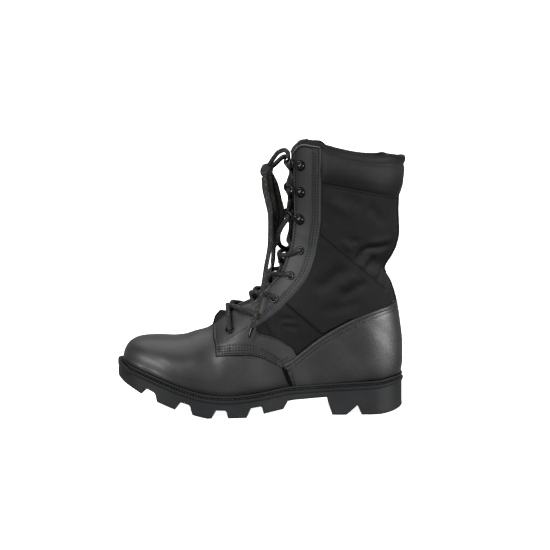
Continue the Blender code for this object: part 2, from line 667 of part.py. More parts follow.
def make_counter():
    def top(sigma, inset):
        if sigma >= COUNTER_BACK_SIGMA:
            return math.pi
        return above_edge_phi(COUNTER_TOP_Z, sigma, inset, math.pi / 4)

    def rows(side, inset):
        made = []
        for k in range(COUNTER_COLUMNS + 1):
            ahead = (1 - k / COUNTER_COLUMNS) ** COUNTER_CROWDING
            high = COUNTER_BACK_SIGMA - (COUNTER_BACK_SIGMA - COUNTER_FRONT_SIGMA) * ahead
            low = HEEL_SEAT_SIGMA - (HEEL_SEAT_SIGMA - COUNTER_FRONT_SIGMA) * ahead
            a, b = top(high, inset), feather_phi(low, inset)
            made.append([on_welt(upper_point(high + (low - high) * v, a + (b - a) * v, side, inset))
                         for v in spaced(0, 1, COUNTER_ROWS)])
        return made

    outer = both_sides(lambda side: rows(side, -COUNTER_GAP - OVERLAY_THICKNESS))
    return solid_between("counter", outer, both_sides(lambda side: rows(side, -COUNTER_GAP)), LEATHER)


def make_facing(side_name):
    """The vamp's side panel: a part up to the throat, and a tail that runs back under the eyestay."""
    side = SIDES[side_name]
    corner = EYESTAY_FOOT_SIGMA - FACING_CORNER_STEP

    def middle(sigma, inset):
        upper = above_edge_phi(FACING_UPPER_Z, sigma, inset, 0.3)
        if sigma <= corner:
            return upper
        return max(eyestay_rear_phi(sigma, inset) + FACING_EYESTAY_GAP, upper)

    def lower(sigma, inset):
        start = middle(sigma, inset)
        counter = above_edge_phi(COUNTER_TOP_Z, sigma, inset, start) - FACING_COUNTER_GAP
        return max(start, min(counter, above_edge_phi(FACING_LOWER_Z, sigma, inset, start)))

    ahead = spaced(VAMP_END_SIGMA, corner, 5)
    tail = spaced(corner, FACING_TAIL_SIGMA, 6)[1:]

    def skin(inset):
        return [strip(ahead, throat_phi, middle, inset, 3, side),
                strip(ahead + tail, middle, lower, inset, 3, side)]

    outer = skin(-OVERLAY_GAP - OVERLAY_THICKNESS)
    return solid_between(f"facing_{side_name}", outer, skin(-OVERLAY_GAP), LEATHER)


def make_eyestay(side_name):
    sigmas = [EYESTAY_FOOT_SIGMA] + EYESTAY_SIGMAS + spaced(CUFF_SIGMA, COLLAR_SIGMA, 4)
    columns = 4
    side = SIDES[side_name]

    def rows(lift):
        made = []
        for sigma in sigmas:
            row = []
            for j in range(columns + 1):
                at = collar_sigma(sigma, j / columns * EYESTAY_CORNER_SHARE)
                a = throat_phi(at, lift)
                b = eyestay_rear_phi(at, lift)
                row.append(upper_point(at, a + (b - a) * j / columns, side, lift))
            made.append(row)
        return made

    outer = rows(-OVERLAY_GAP - OVERLAY_THICKNESS)
    return solid_between(f"eyestay_{side_name}", [outer], [rows(-OVERLAY_GAP)], LEATHER)


def behind_eyestay(sigma, inset):
    return eyestay_rear_phi(sigma, inset) + PANEL_SPACING / LEG_RADIUS


def to_back(sigma, inset):
    return math.pi


def make_cuff():
    def thickness(sigma):
        across = (sigma - CUFF_SIGMA) / (COLLAR_SIGMA - CUFF_SIGMA)
        return CUFF_EDGE + CUFF_SWELL * math.sin(math.pi * clamp(across, 0.0, 1.0)) ** CUFF_ROUNDNESS

    return overlay("cuff", spaced(CUFF_SIGMA, COLLAR_SIGMA, 5), behind_eyestay, to_back, 8, SIDES.values(),
                   CUFF_CLOTH, thickness=thickness)


def make_backstay():
    def edge(sigma, inset):
        return back_phi(sigma, inset, BACKSTAY_HALF)

    return overlay("backstay", BACK_SIGMAS + [CUFF_SIGMA - 0.1], edge, to_back, 1, SIDES.values(), CLOTH)


def along_edge(edge, share):
    """The place at a share of the x range of an edge given as two x values and a height curve."""
    start, end, height = edge
    x = start + (end - start) * share
    return x, height(x)


def make_ankle_panel(side_name):
    """The cloth strap round the ankle: a patch between the eyestay, two seams and the counter."""
    side = SIDES[side_name]
    lift = ANKLE_GAP

    def seam(share):
        return locate(*along_edge((ANKLE_FRONT_X, ANKLE_BACK_X, ANKLE_UPPER_Z), share), side, lift)

    def under(share):
        x = ANKLE_LOW_X + (ANKLE_HEEL_X - ANKLE_LOW_X) * share
        return locate(x, max(ANKLE_LOWER_Z(x), COUNTER_TOP_Z(x) + PANEL_SPACING), side, lift)

    top = [seam(u) for u in spaced(0, 1, ANKLE_COLUMNS)]
    bottom = [under(u) for u in spaced(0, 1, ANKLE_COLUMNS)]
    places = []
    for k in range(ANKLE_COLUMNS + 1):
        u = k / ANKLE_COLUMNS
        column = []
        for v in spaced(0, 1, ANKLE_ROWS):
            sigma = top[k][0] + (bottom[k][0] - top[k][0]) * v
            phi = top[k][1] + (bottom[k][1] - top[k][1]) * v
            front = top[0][0] + (bottom[0][0] - top[0][0]) * v
            bow = behind_eyestay(front, -lift) - (top[0][1] + (bottom[0][1] - top[0][1]) * v)
            column.append((sigma, phi + bow * (1 - u)))
        places.append(column)

    def skin(inset):
        return [[[upper_point(*at, side, inset) for at in column] for column in places]]

    return solid_between(f"ankle_panel_{side_name}", skin(-lift - PANEL_THICKNESS), skin(-lift), CLOTH)


# Hardware

def surface_frame(x, z, side, lift):
    """A matrix on the upper at x and z: local Z points out, local X runs forward to the throat."""
    sigma, phi = locate(x, z, side, lift)

    def near(along, around):
        return Vector(upper_point(sigma + along, phi + around, side, -lift))

    here = near(0, 0)
    up = near(PROBE_STEP, 0) - near(-PROBE_STEP, 0)
    back = near(0, PROBE_STEP) - near(0, -PROBE_STEP)
    out = up.cross(back).normalized()
    if out.y * side < 0:
        out = -out
    forward = (-back - out * (-back).dot(out)).normalized()
    turn = Matrix((forward, out.cross(forward), out)).transposed().to_4x4()
    return Matrix.Translation(place(*here)) @ turn, sigma, phi


def turned_ring(bm, profile, segments):
    """Spins a closed profile of radius and height about local Z."""
    loop = [bm.verts.new((r * MM, 0, z * MM)) for r, z in profile]
    edges = [bm.edges.new((a, b)) for a, b in zip(loop, loop[1:] + loop[:1])]
    bmesh.ops.spin(bm, geom=loop + edges, cent=(0, 0, 0), axis=(0, 0, 1), angle=2 * math.pi,
                   steps=segments, use_merge=True)


def make_eyelet(name, frame):
    bm = bmesh.new()
    rim = (EYELET_OUTER + EYELET_INNER) / 2
    profile = [(EYELET_INNER, 0), (EYELET_INNER, EYELET_HEIGHT * 0.7), (rim, EYELET_HEIGHT),
               (EYELET_OUTER, 0)]
    turned_ring(bm, profile, 9)
    bmesh.ops.recalc_face_normals(bm, faces=bm.faces)
    bm.transform(frame)
    return finish_mesh(name, bm, METAL)


def helper_mesh(name, bm, frame):
    bmesh.ops.recalc_face_normals(bm, faces=bm.faces)
    bm.transform(frame)
    obj = finish_mesh(name, bm, METAL)
    obj.hide_render = True
    obj.display_type = "WIRE"
    return obj


def make_hook(name, frame):
    """A domed rivet on a tab whose fixed ring reaches past the throat's edge."""
    bm = bmesh.new()
    bmesh.ops.create_cube(bm, size=1.0)
    length = HOOK_REACH - HOOK_RING_RADIUS + HOOK_RING_WIRE * 0.4
    bm.transform(Matrix.Translation((length / 2 * MM, 0, HOOK_TAB_THICKNESS / 2 * MM))
                 @ Matrix.Diagonal((length * MM, HOOK_TAB_WIDTH * MM, HOOK_TAB_THICKNESS * MM, 1)))
    bm.transform(frame)
    hook = finish_mesh(name, bm, METAL)

    dome = bmesh.new()
    bmesh.ops.create_uvsphere(dome, u_segments=8, v_segments=6, radius=1.0)
    dome.transform(Matrix.Diagonal((HOOK_DOME_RADIUS * MM, HOOK_DOME_RADIUS * MM, HOOK_DOME_HEIGHT * MM, 1)))
    whole = [*dome.verts, *dome.edges, *dome.faces]
    cut = bmesh.ops.bisect_plane(dome, geom=whole, plane_co=(0, 0, HOOK_DOME_FOOT * MM), plane_no=(0, 0, -1),
                                 clear_outer=True)
    cut_edges = [e for e in cut["geom_cut"] if isinstance(e, bmesh.types.BMEdge)]
    bmesh.ops.holes_fill(dome, edges=cut_edges, sides=0)

    ring = bmesh.new()
    turns = [2 * math.pi * (k + 0.5) / 4 for k in range(4)]
    wire = [(HOOK_RING_RADIUS + HOOK_RING_WIRE * math.cos(a), HOOK_RING_WIRE * math.sin(a)) for a in turns]
    turned_ring(ring, wire, 10)
    ring.transform(Matrix.Translation((HOOK_REACH * MM, 0, HOOK_TAB_THICKNESS / 2 * MM)))
    for part, bm in (("dome", dome), ("ring", ring)):
        join = hook.modifiers.new(part, "BOOLEAN")
        join.operation = "UNION"
        join.solver = "EXACT"
        join.object = helper_mesh(f"{name}_{part}_form", bm, frame)
    return hook


def make_hardware():
    """Eyelets and hooks on both sides. Returns each level's sigma and phi, from the lowest up."""
    levels = []
    seat = OVERLAY_GAP + OVERLAY_THICKNESS + EYELET_SEAT
    for k, (x, z) in enumerate(EYELET_PLACES, 1):
        for side_name, side in SIDES.items():
            frame, sigma, phi = surface_frame(x, z, side, seat)
            make_eyelet(f"eyelet_{side_name}_{k}", frame)
        levels.append((sigma, phi))
    for k, (x, z) in enumerate(HOOK_PLACES, 1):
        for side_name, side in SIDES.items():
            frame, sigma, phi = surface_frame(x, z, side, OVERLAY_GAP + OVERLAY_THICKNESS + HOOK_SEAT)
            make_hook(f"hook_{side_name}_{k}", frame)
        levels.append((sigma, phi))
    return levels


# Lace

def tube(bm, path, sides):
    """Adds a capped tube along the path to bm."""
    rings = []
    for i, at in enumerate(path):
        along = (path[min(i + 1, len(path) - 1)] - path[max(i - 1, 0)]).normalized()
        across = along.cross(Vector((0, 0, 1)) if abs(along.z) < 0.9 else Vector((1, 0, 0))).normalized()
        up = across.cross(along)
        turns = [2 * math.pi * k / sides for k in range(sides)]
        spokes = [(across * math.cos(a) + up * math.sin(a)) * LACE_RADIUS * MM for a in turns]
        rings.append([bm.verts.new(at + spoke) for spoke in spokes])
    for a, b in zip(rings, rings[1:]):
        for k in range(sides):
            bm.faces.new((a[k], a[(k + 1) % sides], b[(k + 1) % sides], b[k]))
    bm.faces.new(reversed(rings[0]))
    bm.faces.new(rings[-1])


def throat_offset_phi(sigma, clearance):
    """phi inside the throat, at a distance of clearance from its edge."""
    row, _, _ = section(sigma, -LACE_LIFT)
    return math.asin(((row["gap"] - clearance) / row["half"]) ** (row["top_power"] / 2))


def lace_path(start, end, side):
    """Points of a strand over the throat, from start on one side to end on the other."""
    steps = 8
    path = []
    for i in range(steps + 1):
        sigma = start[0] + (end[0] - start[0]) * i / steps
        turn = -start[1] + (end[1] + start[1]) * i / steps
        row, _, _ = section(sigma, 0)
        _, y, _ = upper_point(sigma, abs(turn), 1, 0)
        reach = clamp((y - row["centre"]) / row["gap"], 0.0, 1.0)
        sag = LACE_SAG * row["gap"] / SECTIONS[-1].gap + LACE_PADDING_SHARE * tongue_padding(sigma)
        lift = LACE_LIFT - sag * (1 - reach ** 2) ** 2
        lift += LACE_EYELET_RISE * ease(1.0, 7.0, y - row["centre"] - row["gap"])
        path.append(place(*upper_point(sigma, abs(turn), side * (1 if turn > 0 else -1), -lift)))
    return path


def strand(start, end, side):
    bm = bmesh.new()
    tube(bm, lace_path(start, end, side), 5)
    bmesh.ops.recalc_face_normals(bm, faces=bm.faces)
    return bm


def crossing_ends(low, high):
    """A crossing comes out of the throat above its low level and stops at its high level."""
    sigma = low[0] + (high[0] - low[0]) * STRAND_START
    start = sigma, throat_offset_phi(sigma, HOOK_CLEARANCE if low[0] > HOOK_LEVEL_SIGMA else EDGE_CLEARANCE)
    if high[0] < HOOK_LEVEL_SIGMA:
        return start, high
    return start, (high[0], throat_offset_phi(high[0], HOOK_CLEARANCE))


def make_lace(levels):
    """The bar over the vamp and the crossings above it, each one solid, then the free cords."""
    finish_mesh("lace_bar", strand(levels[0], levels[0], 1), LACE)
    for k, (low, high) in enumerate(zip(levels, levels[1:]), 1):
        start, end = crossing_ends(low, high)
        crossing_piece = finish_mesh(f"lace_cross_{k}", strand(start, end, 1), LACE)
        other = finish_mesh(f"lace_cross_{k}_form", strand(start, end, -1), LACE)
        other.hide_render = True
        other.display_type = "WIRE"
        join = crossing_piece.modifiers.new("other", "BOOLEAN")
        join.operation = "UNION"
        join.solver = "EXACT"
        join.object = other
    knot = bmesh.new()
    bmesh.ops.create_icosphere(knot, subdivisions=2, radius=1.0)
    size = Matrix.Diagonal((*(r * MM for r in KNOT_RADII), 1))
    knot.transform(Matrix.Translation(place(*KNOT_CENTRE)) @ size)
    finish_mesh("lace_knot", knot, LACE)
    for name, route in LACE_ROUTES.items():
        make_cord(name, route)


def make_cord(name, route):
    """A lace tube on a smooth curve through its route."""
    ends = [Vector(p) for p in route]
    lengths = [0.0]
    for a, b in zip(ends, ends[1:]):
        lengths.append(lengths[-1] + (b - a).length)
    axes = [smooth_curve(lengths, [p[k] for p in ends]) for k in range(3)]
    count = max(4, round(lengths[-1] / CORD_SPACING))
    curve = bpy.data.curves.new(name, "CURVE")
    curve.dimensions = "3D"
    curve.bevel_depth = LACE_RADIUS * MM
    curve.bevel_resolution = 2
    curve.use_fill_caps = True
    spline = curve.splines.new("POLY")
    spline.points.add(count)
    for i, point in enumerate(spline.points):
        point.co = (*place(*(axis(lengths[-1] * i / count) for axis in axes)), 1.0)
    obj = bpy.data.objects.new(name, curve)
    curve.materials.append(LACE)
    bpy.context.scene.collection.objects.link(obj)


def main():
    make_outsole()
    make_welt()
    make_insole()
    make_upper()
    make_tongue()
    make_counter()
    make_cuff()
    make_backstay()
    for side_name in SIDES:
        make_facing(side_name)
        make_eyestay(side_name)
        make_ankle_panel(side_name)
    make_lace(make_hardware())


for old in list(bpy.data.objects):
    bpy.data.objects.remove(old)
RUBBER = make_material("sole_rubber", (0.030, 0.031, 0.033), 0.55)
LEATHER = make_material("leather", (0.045, 0.046, 0.047), 0.42)
CLOTH = make_material("shaft_cloth", (0.020, 0.020, 0.021), 0.85)
CUFF_CLOTH = make_material("cuff_cloth", (0.027, 0.027, 0.028), 0.75)
LINING = make_material("lining", (0.018, 0.018, 0.019), 0.9)
METAL = make_material("black_metal", (0.02, 0.02, 0.021), 0.25, 0.6)
LACE = make_material("lace_cord", (0.035, 0.034, 0.031), 0.8)
main()
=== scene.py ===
"""Looks of a black tactical boot for the left foot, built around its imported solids.

Tables and named sizes are in millimetres, in the part's frame: the toe points to -X, the lateral side
faces -Y and the sole stands on z = 0. Points become metres where a mesh is made. In the names, SIGMA counts
the upper's sections from the toe, as do the rises and dips of the cuff's rim, PHI and TUCK are angles
round a section, and SHARE is a part of 1. The camera, the lights and the floor are in metres.
"""

import math
from bisect import bisect_right
from collections import namedtuple
from functools import lru_cache

import bmesh
import bpy
from mathutils import Matrix, Vector


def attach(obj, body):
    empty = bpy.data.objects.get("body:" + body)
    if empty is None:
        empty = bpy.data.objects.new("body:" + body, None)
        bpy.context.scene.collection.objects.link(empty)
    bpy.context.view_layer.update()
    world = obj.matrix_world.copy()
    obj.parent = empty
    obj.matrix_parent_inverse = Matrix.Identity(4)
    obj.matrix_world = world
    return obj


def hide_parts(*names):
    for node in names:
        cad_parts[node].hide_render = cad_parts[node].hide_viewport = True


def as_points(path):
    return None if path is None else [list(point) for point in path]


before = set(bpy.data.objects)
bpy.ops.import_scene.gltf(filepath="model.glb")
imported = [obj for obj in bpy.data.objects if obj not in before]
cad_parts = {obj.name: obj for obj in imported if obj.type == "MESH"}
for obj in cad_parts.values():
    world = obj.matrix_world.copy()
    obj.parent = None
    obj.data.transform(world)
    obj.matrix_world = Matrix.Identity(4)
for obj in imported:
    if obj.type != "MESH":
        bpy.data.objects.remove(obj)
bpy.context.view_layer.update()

MM = 0.001
SIDES = {"lateral": -1, "medial": 1}

# Sizes of the sole
TOE_X, HEEL_X = -152.0, 152.0
TOE_ROUND_X, HEEL_ROUND_X, HEEL_ROUND_POWER = -85.0, 112.0, 2.2
WELT_THICKNESS, SEAT_GAP, LUG_DEPTH = 3.0, 0.3, 8.5
GROOVE_ROOT, GROOVE_MOUTH, GROOVE_SWEEP = 14.8, 19.4, math.radians(7)
CUTTER_REACH, CUTTER_DEPTH, ROOT_ROUND, ROOT_LEAN = 56.0, 30.0, 4.0, 0.6
INSOLE_INSET, INSOLE_RISE, INSOLE_SINK, INSOLE_THICKNESS = 11.6, 4.0, 0.4, 3.2
CUP_EDGE, CUP_POWER, CUP_EDGE_X, CUP_HEEL, CUP_HEEL_X = 2.4, 4, (-120, -20), 2.0, (118, 140)
SHARP_ANGLE, BEVEL_ANGLE, BEVEL_WIDTH = math.radians(30), math.radians(35), 0.55

# Sizes of the upper
WALL, UPPER_SEAT = 2.4, 0.95
TOE_CAP_X, TOE_CAP_REACH, LAST_TOE_ROUND = -128.0, 19.6, 62.6
LEATHER_LOW, LEATHER_HIGH, FACING_HIGH = -0.3, 2.2, 1.7
COUNTER_HIGH, ANKLE_HIGH, BACKSTAY_HIGH = 2.4, 1.5, 1.7
CLOTH_SINK, CLOTH_THICKNESS, VAMP_THICKNESS, VAMP_SKIRT = 0.35, 2.0, 2.0, 1.5
PANEL_THICKNESS, ANKLE_THICKNESS, BACKSTAY_THICKNESS = 1.0, 0.7, 0.8
# Lift to which each free edge of a panel is turned down
EYESTAY_EDGES = {"front": -WALL, "rear": LEATHER_LOW, "top": -0.5}
FACING_EDGES = {"front": LEATHER_LOW, "foot": -1.7, "top": -WALL}
COUNTER_EDGES = {"front": LEATHER_LOW, "top": LEATHER_LOW}
ANKLE_EDGES, BACKSTAY_EDGES = {"top": -0.6, "foot": -0.6}, {"front": -0.5}
# Other places and sizes
VAMP_TROUGH, VAMP_TROUGH_START, VAMP_TROUGH_END = 0.9, (-36.0, -24.0), (-12.0, 8.0)
VAMP_TROUGH_DROP, VAMP_TROUGH_WIDTH = 0.5, 2.2
VAMP_TUCK, VAMP_TUCK_SIGMAS, VAMP_PAST_WELT = 0.12, (7.6, 8.6), 1.05
SHAFT_TUCK, SHAFT_TUCK_SIGMAS, SHAFT_SIGMAS = 0.06, (10.2, 10.9), (8.0, 26.9)
# Radius of the dark cords that paint a shadow line over the counter's front edge
FRONT_SHADOW_LINE_RADIUS = 0.85
TOE_SOFT_START, TOE_SOFT_RISE, TOE_SOFT_ENDS = -141.0, 4.0, range(-84, -124, -1)
CORNER_DROP, CORNER_SHARE, EYESTAY_CORNER_SHARE, CUFF_CORNER_SHARE = 0.52, 0.16, 0.3, 0.13
CUFF_PADDING, CUFF_PADDING_SIGMAS, CUFF_FILL = 2.4, (25.25, 26.35), 0.6
CUFF_RISE, CUFF_RISE_SIGMAS, CUFF_RISE_PHI = {-1: 0.18, 1: 0.06}, (27.3, 28.05), (0.7, 1.15)
CUFF_MIDDLE_SIGMA, CUFF_START_PHI, CUFF_HIDDEN_PHI, CUFF_HIDDEN_SHARE = 27.0, 0.03, (-0.05, 0.1), 0.85
RIM_DIP, RIM_DIP_PHI, RIM_DIP_WIDTH, RIM_DIP_SIGMAS = 0.2, 1.75, 0.5, (26.4, 28.0)
RIM_BUMP, RIM_BUMP_PHI, RIM_BUMP_WIDTH, RIM_SIGMAS = 0.06, 2.29, 0.09, (27.6, 28.0)
RIM_BACK, RIM_BACK_PHI = 0.06, (2.7, 3.0)
CUFF_SEAM_SIGMA, CUFF_SEAM_START = 25.84, 0.02
SEAM_AND_SHADOW_LINE_RADIUS, PIPING_RADIUS = 0.55, 0.55
TONGUE_SLACK, TONGUE_THICKNESS, TONGUE_SPREAD = 1.2, 2.4, 6.0
TONGUE_FOLD, TONGUE_TOP_SIGMA = 11.0, 28.0
TONGUE_FOLD_SIGMAS, TONGUE_TIP_SIGMA = (6.45, 7.2), 26.6
TONGUE_FOLD_END = 7.5, 8.7
TONGUE_SINK = [(7.5, 0.0), (8.4, 0.3), (10.6, 1.0), (11.8, 4.6), (12.8, 6.4), (14.5, 7.0), (17.0, 6.0),
               (19.0, 5.0), (28.0, 3.6)]
TONGUE_TIP_DIP, TONGUE_TIP_RISE = 0.3, 0.45
PROBE = 0.01
SEAM_DEPTH, SEAM_WIDTH, EYESTAY_FOOT_DROP, EYESTAY_FOOT_SHARE = 0.6, 0.85, 0.75, 0.16
# Beads and grooves of the eyestay: edge, height, distance from the edge, width
EYESTAY_BEADS = [("rear", 0.75, 1.9, 1.1), ("rear", -0.45, 4.2, 1.0), ("top", 1.1, 1.2, 0.8)]
# Rows of stitches and seams, and of dark cords that paint shadow lines, as distances from a panel's edge
EYESTAY_REAR_ROWS, EYESTAY_FRONT_ROW, EYESTAY_TOP_ROW = (6.2, 8.8), 3.2, 3.4
FACING_ROWS, FACING_FRONT_ROW, FACING_SHORT_ROWS = (2.4, 5.3, 8.2, 11.1), 3.0, (4.6, 12.0)
COUNTER_TOP_ROWS, COUNTER_FRONT_ROWS, COUNTER_FRONT_SHADOW_LINES = (4.2, 7.4), (3.0, 6.0), (0.1, 0.9)
EYESTAY_PITCH, FACING_PITCH, COUNTER_PITCH = 3.2, 3.0, 3.1
# Other stitches: pitch, length, width and height
FINE_STITCH, CUFF_STITCH, WELT_STITCH = (2.4, 1.6, 0.6, 0.5), (2.4, 2.0, 0.7, 0.6), (3.0, 1.9, 1.1, 0.9)

# Sizes of the hardware and the lace
EYELET_SEAT, EYELET_OUTER, EYELET_INNER = 2.9, 4.7, 2.5
# The eyelet's rim within and beyond its roll: distance from the inner or the outer radius, and height
EYELET_WITHIN, EYELET_BEYOND = [(-0.5, -0.62), (0.0, -0.3), (0.1, 0.5)], [(-0.1, -0.2), (-0.4, -0.9)]
ROLL_SHARE, ROLL_BASE, ROLL_HEIGHT = 0.95, 0.5, 0.75
HOOK_SEAT, HOOK_DOME_RADIUS, HOOK_DOME_HEIGHT = 2.55, 5.4, 4.0
HOOK_DOME_POWER, HOOK_DOME_BASE, HOOK_DOME_FOOT = 0.9, 0.1, [(0.45, -0.1), (0.3, -0.8)]
HOOK_TAB_WIDTH, HOOK_TAB_THICKNESS, HOOK_TAB_BEVEL, HOOK_TAB_OVERLAP = 6.4, 1.6, 0.45, 0.4
HOOK_RING_RADIUS, HOOK_RING_WIRE, HOOK_REACH = 4.3, 1.1, 13.5
LACE_RADIUS, LACE_LIFT, LACE_EYELET_RISE, EYELET_LEAD = 2.5, 5.1, 1.6, (5.2, 3.6, 2.2)
STRAND_START, STRAND_BOW, STRAND_OVER, STRAND_UNDER, BAR_OVER = 0.05, 3.0, 0.7, -0.2, 0.9
STRAND_WIDTH, STRAND_TUCK, STRAND_LIFT_SHARES, STRAND_RISE_REACH = 9.0, 0.1, (0.3, 1.0), (1.0, 7.0)
# A strand in a hook's ring, from the ring's middle
RING_LEAVE, RING_ENTER = [(-1.0, 1.0, -2.5), (-0.6, 0.0, 0.4)], [(-0.6, 0.0, -1.4), (-0.4, 0.0, 1.4)]
HOOK_CLEARANCE, HOOK_LEVEL_SIGMA = 11.5, 20.0
RING_SPACING, AGLET_RINGS = 1.4, 9

SoleStation = namedtuple("SoleStation", "x centre half top tip")
SOLE = [SoleStation(*row) for row in [
    (-152, 2.6, 52.5, 56.9, 36.5),
    (-142, 3.0, 52.5, 53.2, 31.2),
    (-127, 2.9, 52.5, 48.7, 24.0),
    (-109, 1.9, 52.5, 42.2, 16.5),
    (-92, 0.9, 52.5, 35.5, 9.8),
    (-72, -0.4, 52.4, 28.6, 3.6),
    (-58, -1.4, 51.9, 25.2, 0.0),
    (-36, -2.9, 49.9, 23.4, 0.0),
    (-15, -3.9, 47.0, 24.8, 0.0),
    (2, -4.5, 44.0, 27.2, 4.0),
    (22, -4.4, 40.8, 30.8, 8.2),
    (27, -4.2, 40.1, 31.6, 17.0),
    (69, -1.7, 38.0, 33.7, 19.4),
    (73.6, -1.5, 38.0, 33.9, 0.0),
    (124, -0.2, 38.8, 36.6, 0.0),
    (138, 0.0, 38.9, 39.0, 2.0),
    (152, 0.0, 38.9, 40.6, 5.0),
]]
SOLE_MIDDLE_X = [-80, -76, -72, -68, -63, -58, -52, -46, -41, -36, -31, -26, -20, -15, -10, -4, 2, 8, 15,
                 22, 27, 34, 41, 48, 55, 62, 69, 73.6, 80, 87, 94, 100, 106, 112]
STATION_STEPS_TOE, STATION_STEPS_HEEL = 18, 13

# The sole's side from its top edge down: inset, depth below the top, or else height above the tread
SOLE_SIDE = [(4.2, 1.0, None), (3.0, 0.6, None), (1.9, 0.75, None), (0.95, 1.2, None), (0.3, 1.7, None),
             (-0.15, 2.2, None), (-0.2, 2.8, None), (0.0, 3.3, None), (0.25, 4.3, None), (0.95, 4.8, None),
             (1.35, 5.3, None), (1.1, None, 3.0), (0.75, None, 2.6), (0.8, None, 1.2), (1.3, None, 0.5),
             (2.2, None, 0.0)]
# The welt's section: inset and rise from its top
WELT_SECTION = [(3.8, -3.0), (2.6, -2.75), (1.6, -2.25), (0.95, -1.6), (0.7, -0.95), (0.85, -0.3),
                (1.4, 0.05), (2.1, 0.0), (2.8, -0.5), (3.4, -1.2), (4.4, -1.6), (7.0, -1.7), (11.0, -1.7),
                (11.0, -3.0)]
WELT_STITCH_INSET, WELT_STITCH_RISE = 2.1, -3.2
WELT_LEAST_INSET, WELT_DRAW_IN = 1.0, 2.6
BUMPER_X, BUMPER_RISE, BUMPER_BULGE, BUMPER_INSET, BUMPER_STEP = (-139.0, -147.0), 4.0, 1.3, 2.0, 2.0
BUMPER_DEPTH, BUMPER_SQUEEZE = 5.3, 0.7
GROOVES = [(-118.5, 29.0), (-82.5, 16.5), (-44.8, 8.7), (-7.8, 11.0)]
HEEL_NOTCH = [(86.0, -2.0), (95.0, 6.0), (100.5, 10.8), (103.0, 7.0), (105.0, -2.0)]

# Sections of the upper from the toe cap's rear edge to the collar. Each lies in a plane across the
# boot, from its top point on the instep to its low point under the sole or on the back of the leg.
Section = namedtuple("Section", "top_x top_z low_x low_z centre half widest top_power low_power gap")
SECTIONS = [Section(*row) for row in [
    (-128, 79.8, -128, 36.7, 2.8, 34.5, 0.569, 2.3, 3.8, 0),
    (-108, 80.6, -108, 29.6, 1.8, 44.2, 0.601, 2.2, 3.8, 0),
    (-95, 79.8, -95, 24.6, 1, 46.8, 0.616, 2.1, 3.8, 0),
    (-82, 81.3, -82, 19.9, 0.2, 47.4, 0.632, 2, 3.8, 0),
    (-70, 85.2, -70, 16.1, -0.5, 47.2, 0.648, 1.9, 3.8, 0),
    (-58, 88.8, -58, 13.2, -1.4, 46.6, 0.663, 1.8, 3.8, 0),
    (-50, 94, -47, 11.6, -2, 45.8, 0.676, 1.75, 3.8, 6),
    (-40, 104.4, -34, 11.4, -2.9, 44.4, 0.69, 1.75, 3.8, 9),
    (-25.5, 115.6, -10, 13.3, -3.9, 41, 0.705, 1.85, 3.8, 12),
    (-10.3, 124.8, 25, 19.2, -3.9, 36.6, 0.735, 2.1, 3.8, 15),
    (1, 137.8, 65, 21.5, -1.7, 35.2, 0.739, 2.4, 3.8, 17),
    (8.9, 146.9, 105, 23.6, -0.5, 35.6, 0.694, 2.6, 3.4, 18),
    (14.6, 154.1, 134, 27, 0, 35.2, 0.627, 2.7, 3.2, 18.8),
    (16.6, 160.4, 147.3, 41.4, 0, 35, 0.61, 2.7, 2.6, 19.3),
    (18.1, 166.7, 149.6, 57, 0, 34.8, 0.58, 2.6, 2.5, 19.7),
    (20, 172.5, 149.4, 74, 0, 34.5, 0.55, 2.6, 2.4, 20.1),
    (21.8, 177.7, 146.6, 97, 0, 34.4, 0.53, 2.5, 2.4, 20.5),
    (22.8, 183, 142.9, 119, 0, 34.7, 0.52, 2.4, 2.3, 20.9),
    (23.8, 189, 137.4, 137, 0, 35.4, 0.51, 2.3, 2.3, 21.2),
    (24.9, 196, 130.4, 153, 0, 36.4, 0.5, 2.2, 2.3, 21.5),
    (25.7, 202.3, 137.3, 166, 0, 37.8, 0.5, 2.2, 2.3, 21.8),
    (26.2, 209, 142.6, 178, 0, 39.4, 0.5, 2.2, 2.3, 22.1),
    (26.8, 217.5, 144.8, 191, 0, 41, 0.5, 2.2, 2.3, 22.4),
    (27, 228, 144.3, 203, 0, 42.4, 0.5, 2.2, 2.3, 22.7),
    (27, 239, 143.8, 215, 0, 43.6, 0.5, 2.2, 2.3, 23),
    (27, 251, 144.2, 228.5, 0, 44.6, 0.5, 2.2, 2.3, 23.3),
    (27, 266, 146.4, 245, 0, 45.6, 0.5, 2.2, 2.3, 23.6),
    (27, 288.2, 150.3, 268.6, 0, 45.8, 0.5, 2.2, 2.3, 24),
    (27, 311, 151.3, 290, 0, 46, 0.5, 2.2, 2.3, 24),
]]
THROAT_SIGMA, COLLAR_SIGMA, CUFF_SIGMA = 6.4, 28.0, 26.05
VAMP_END_SIGMA, VAMP_TAIL_SIGMA = 7.05, 10.9
EYESTAY_FOOT_SIGMA, EYESTAY_TOP_SIGMA, FACING_TAIL_SIGMA = 9.2, 27.95, 10.8
COUNTER_FRONT_SIGMA, COUNTER_BACK_SIGMA, COUNTER_CROWDING = 10.22, 17.9, 1.8
HEEL_SEAT_SIGMA, HEEL_SEAT_SPREAD = 13.92, 0.4

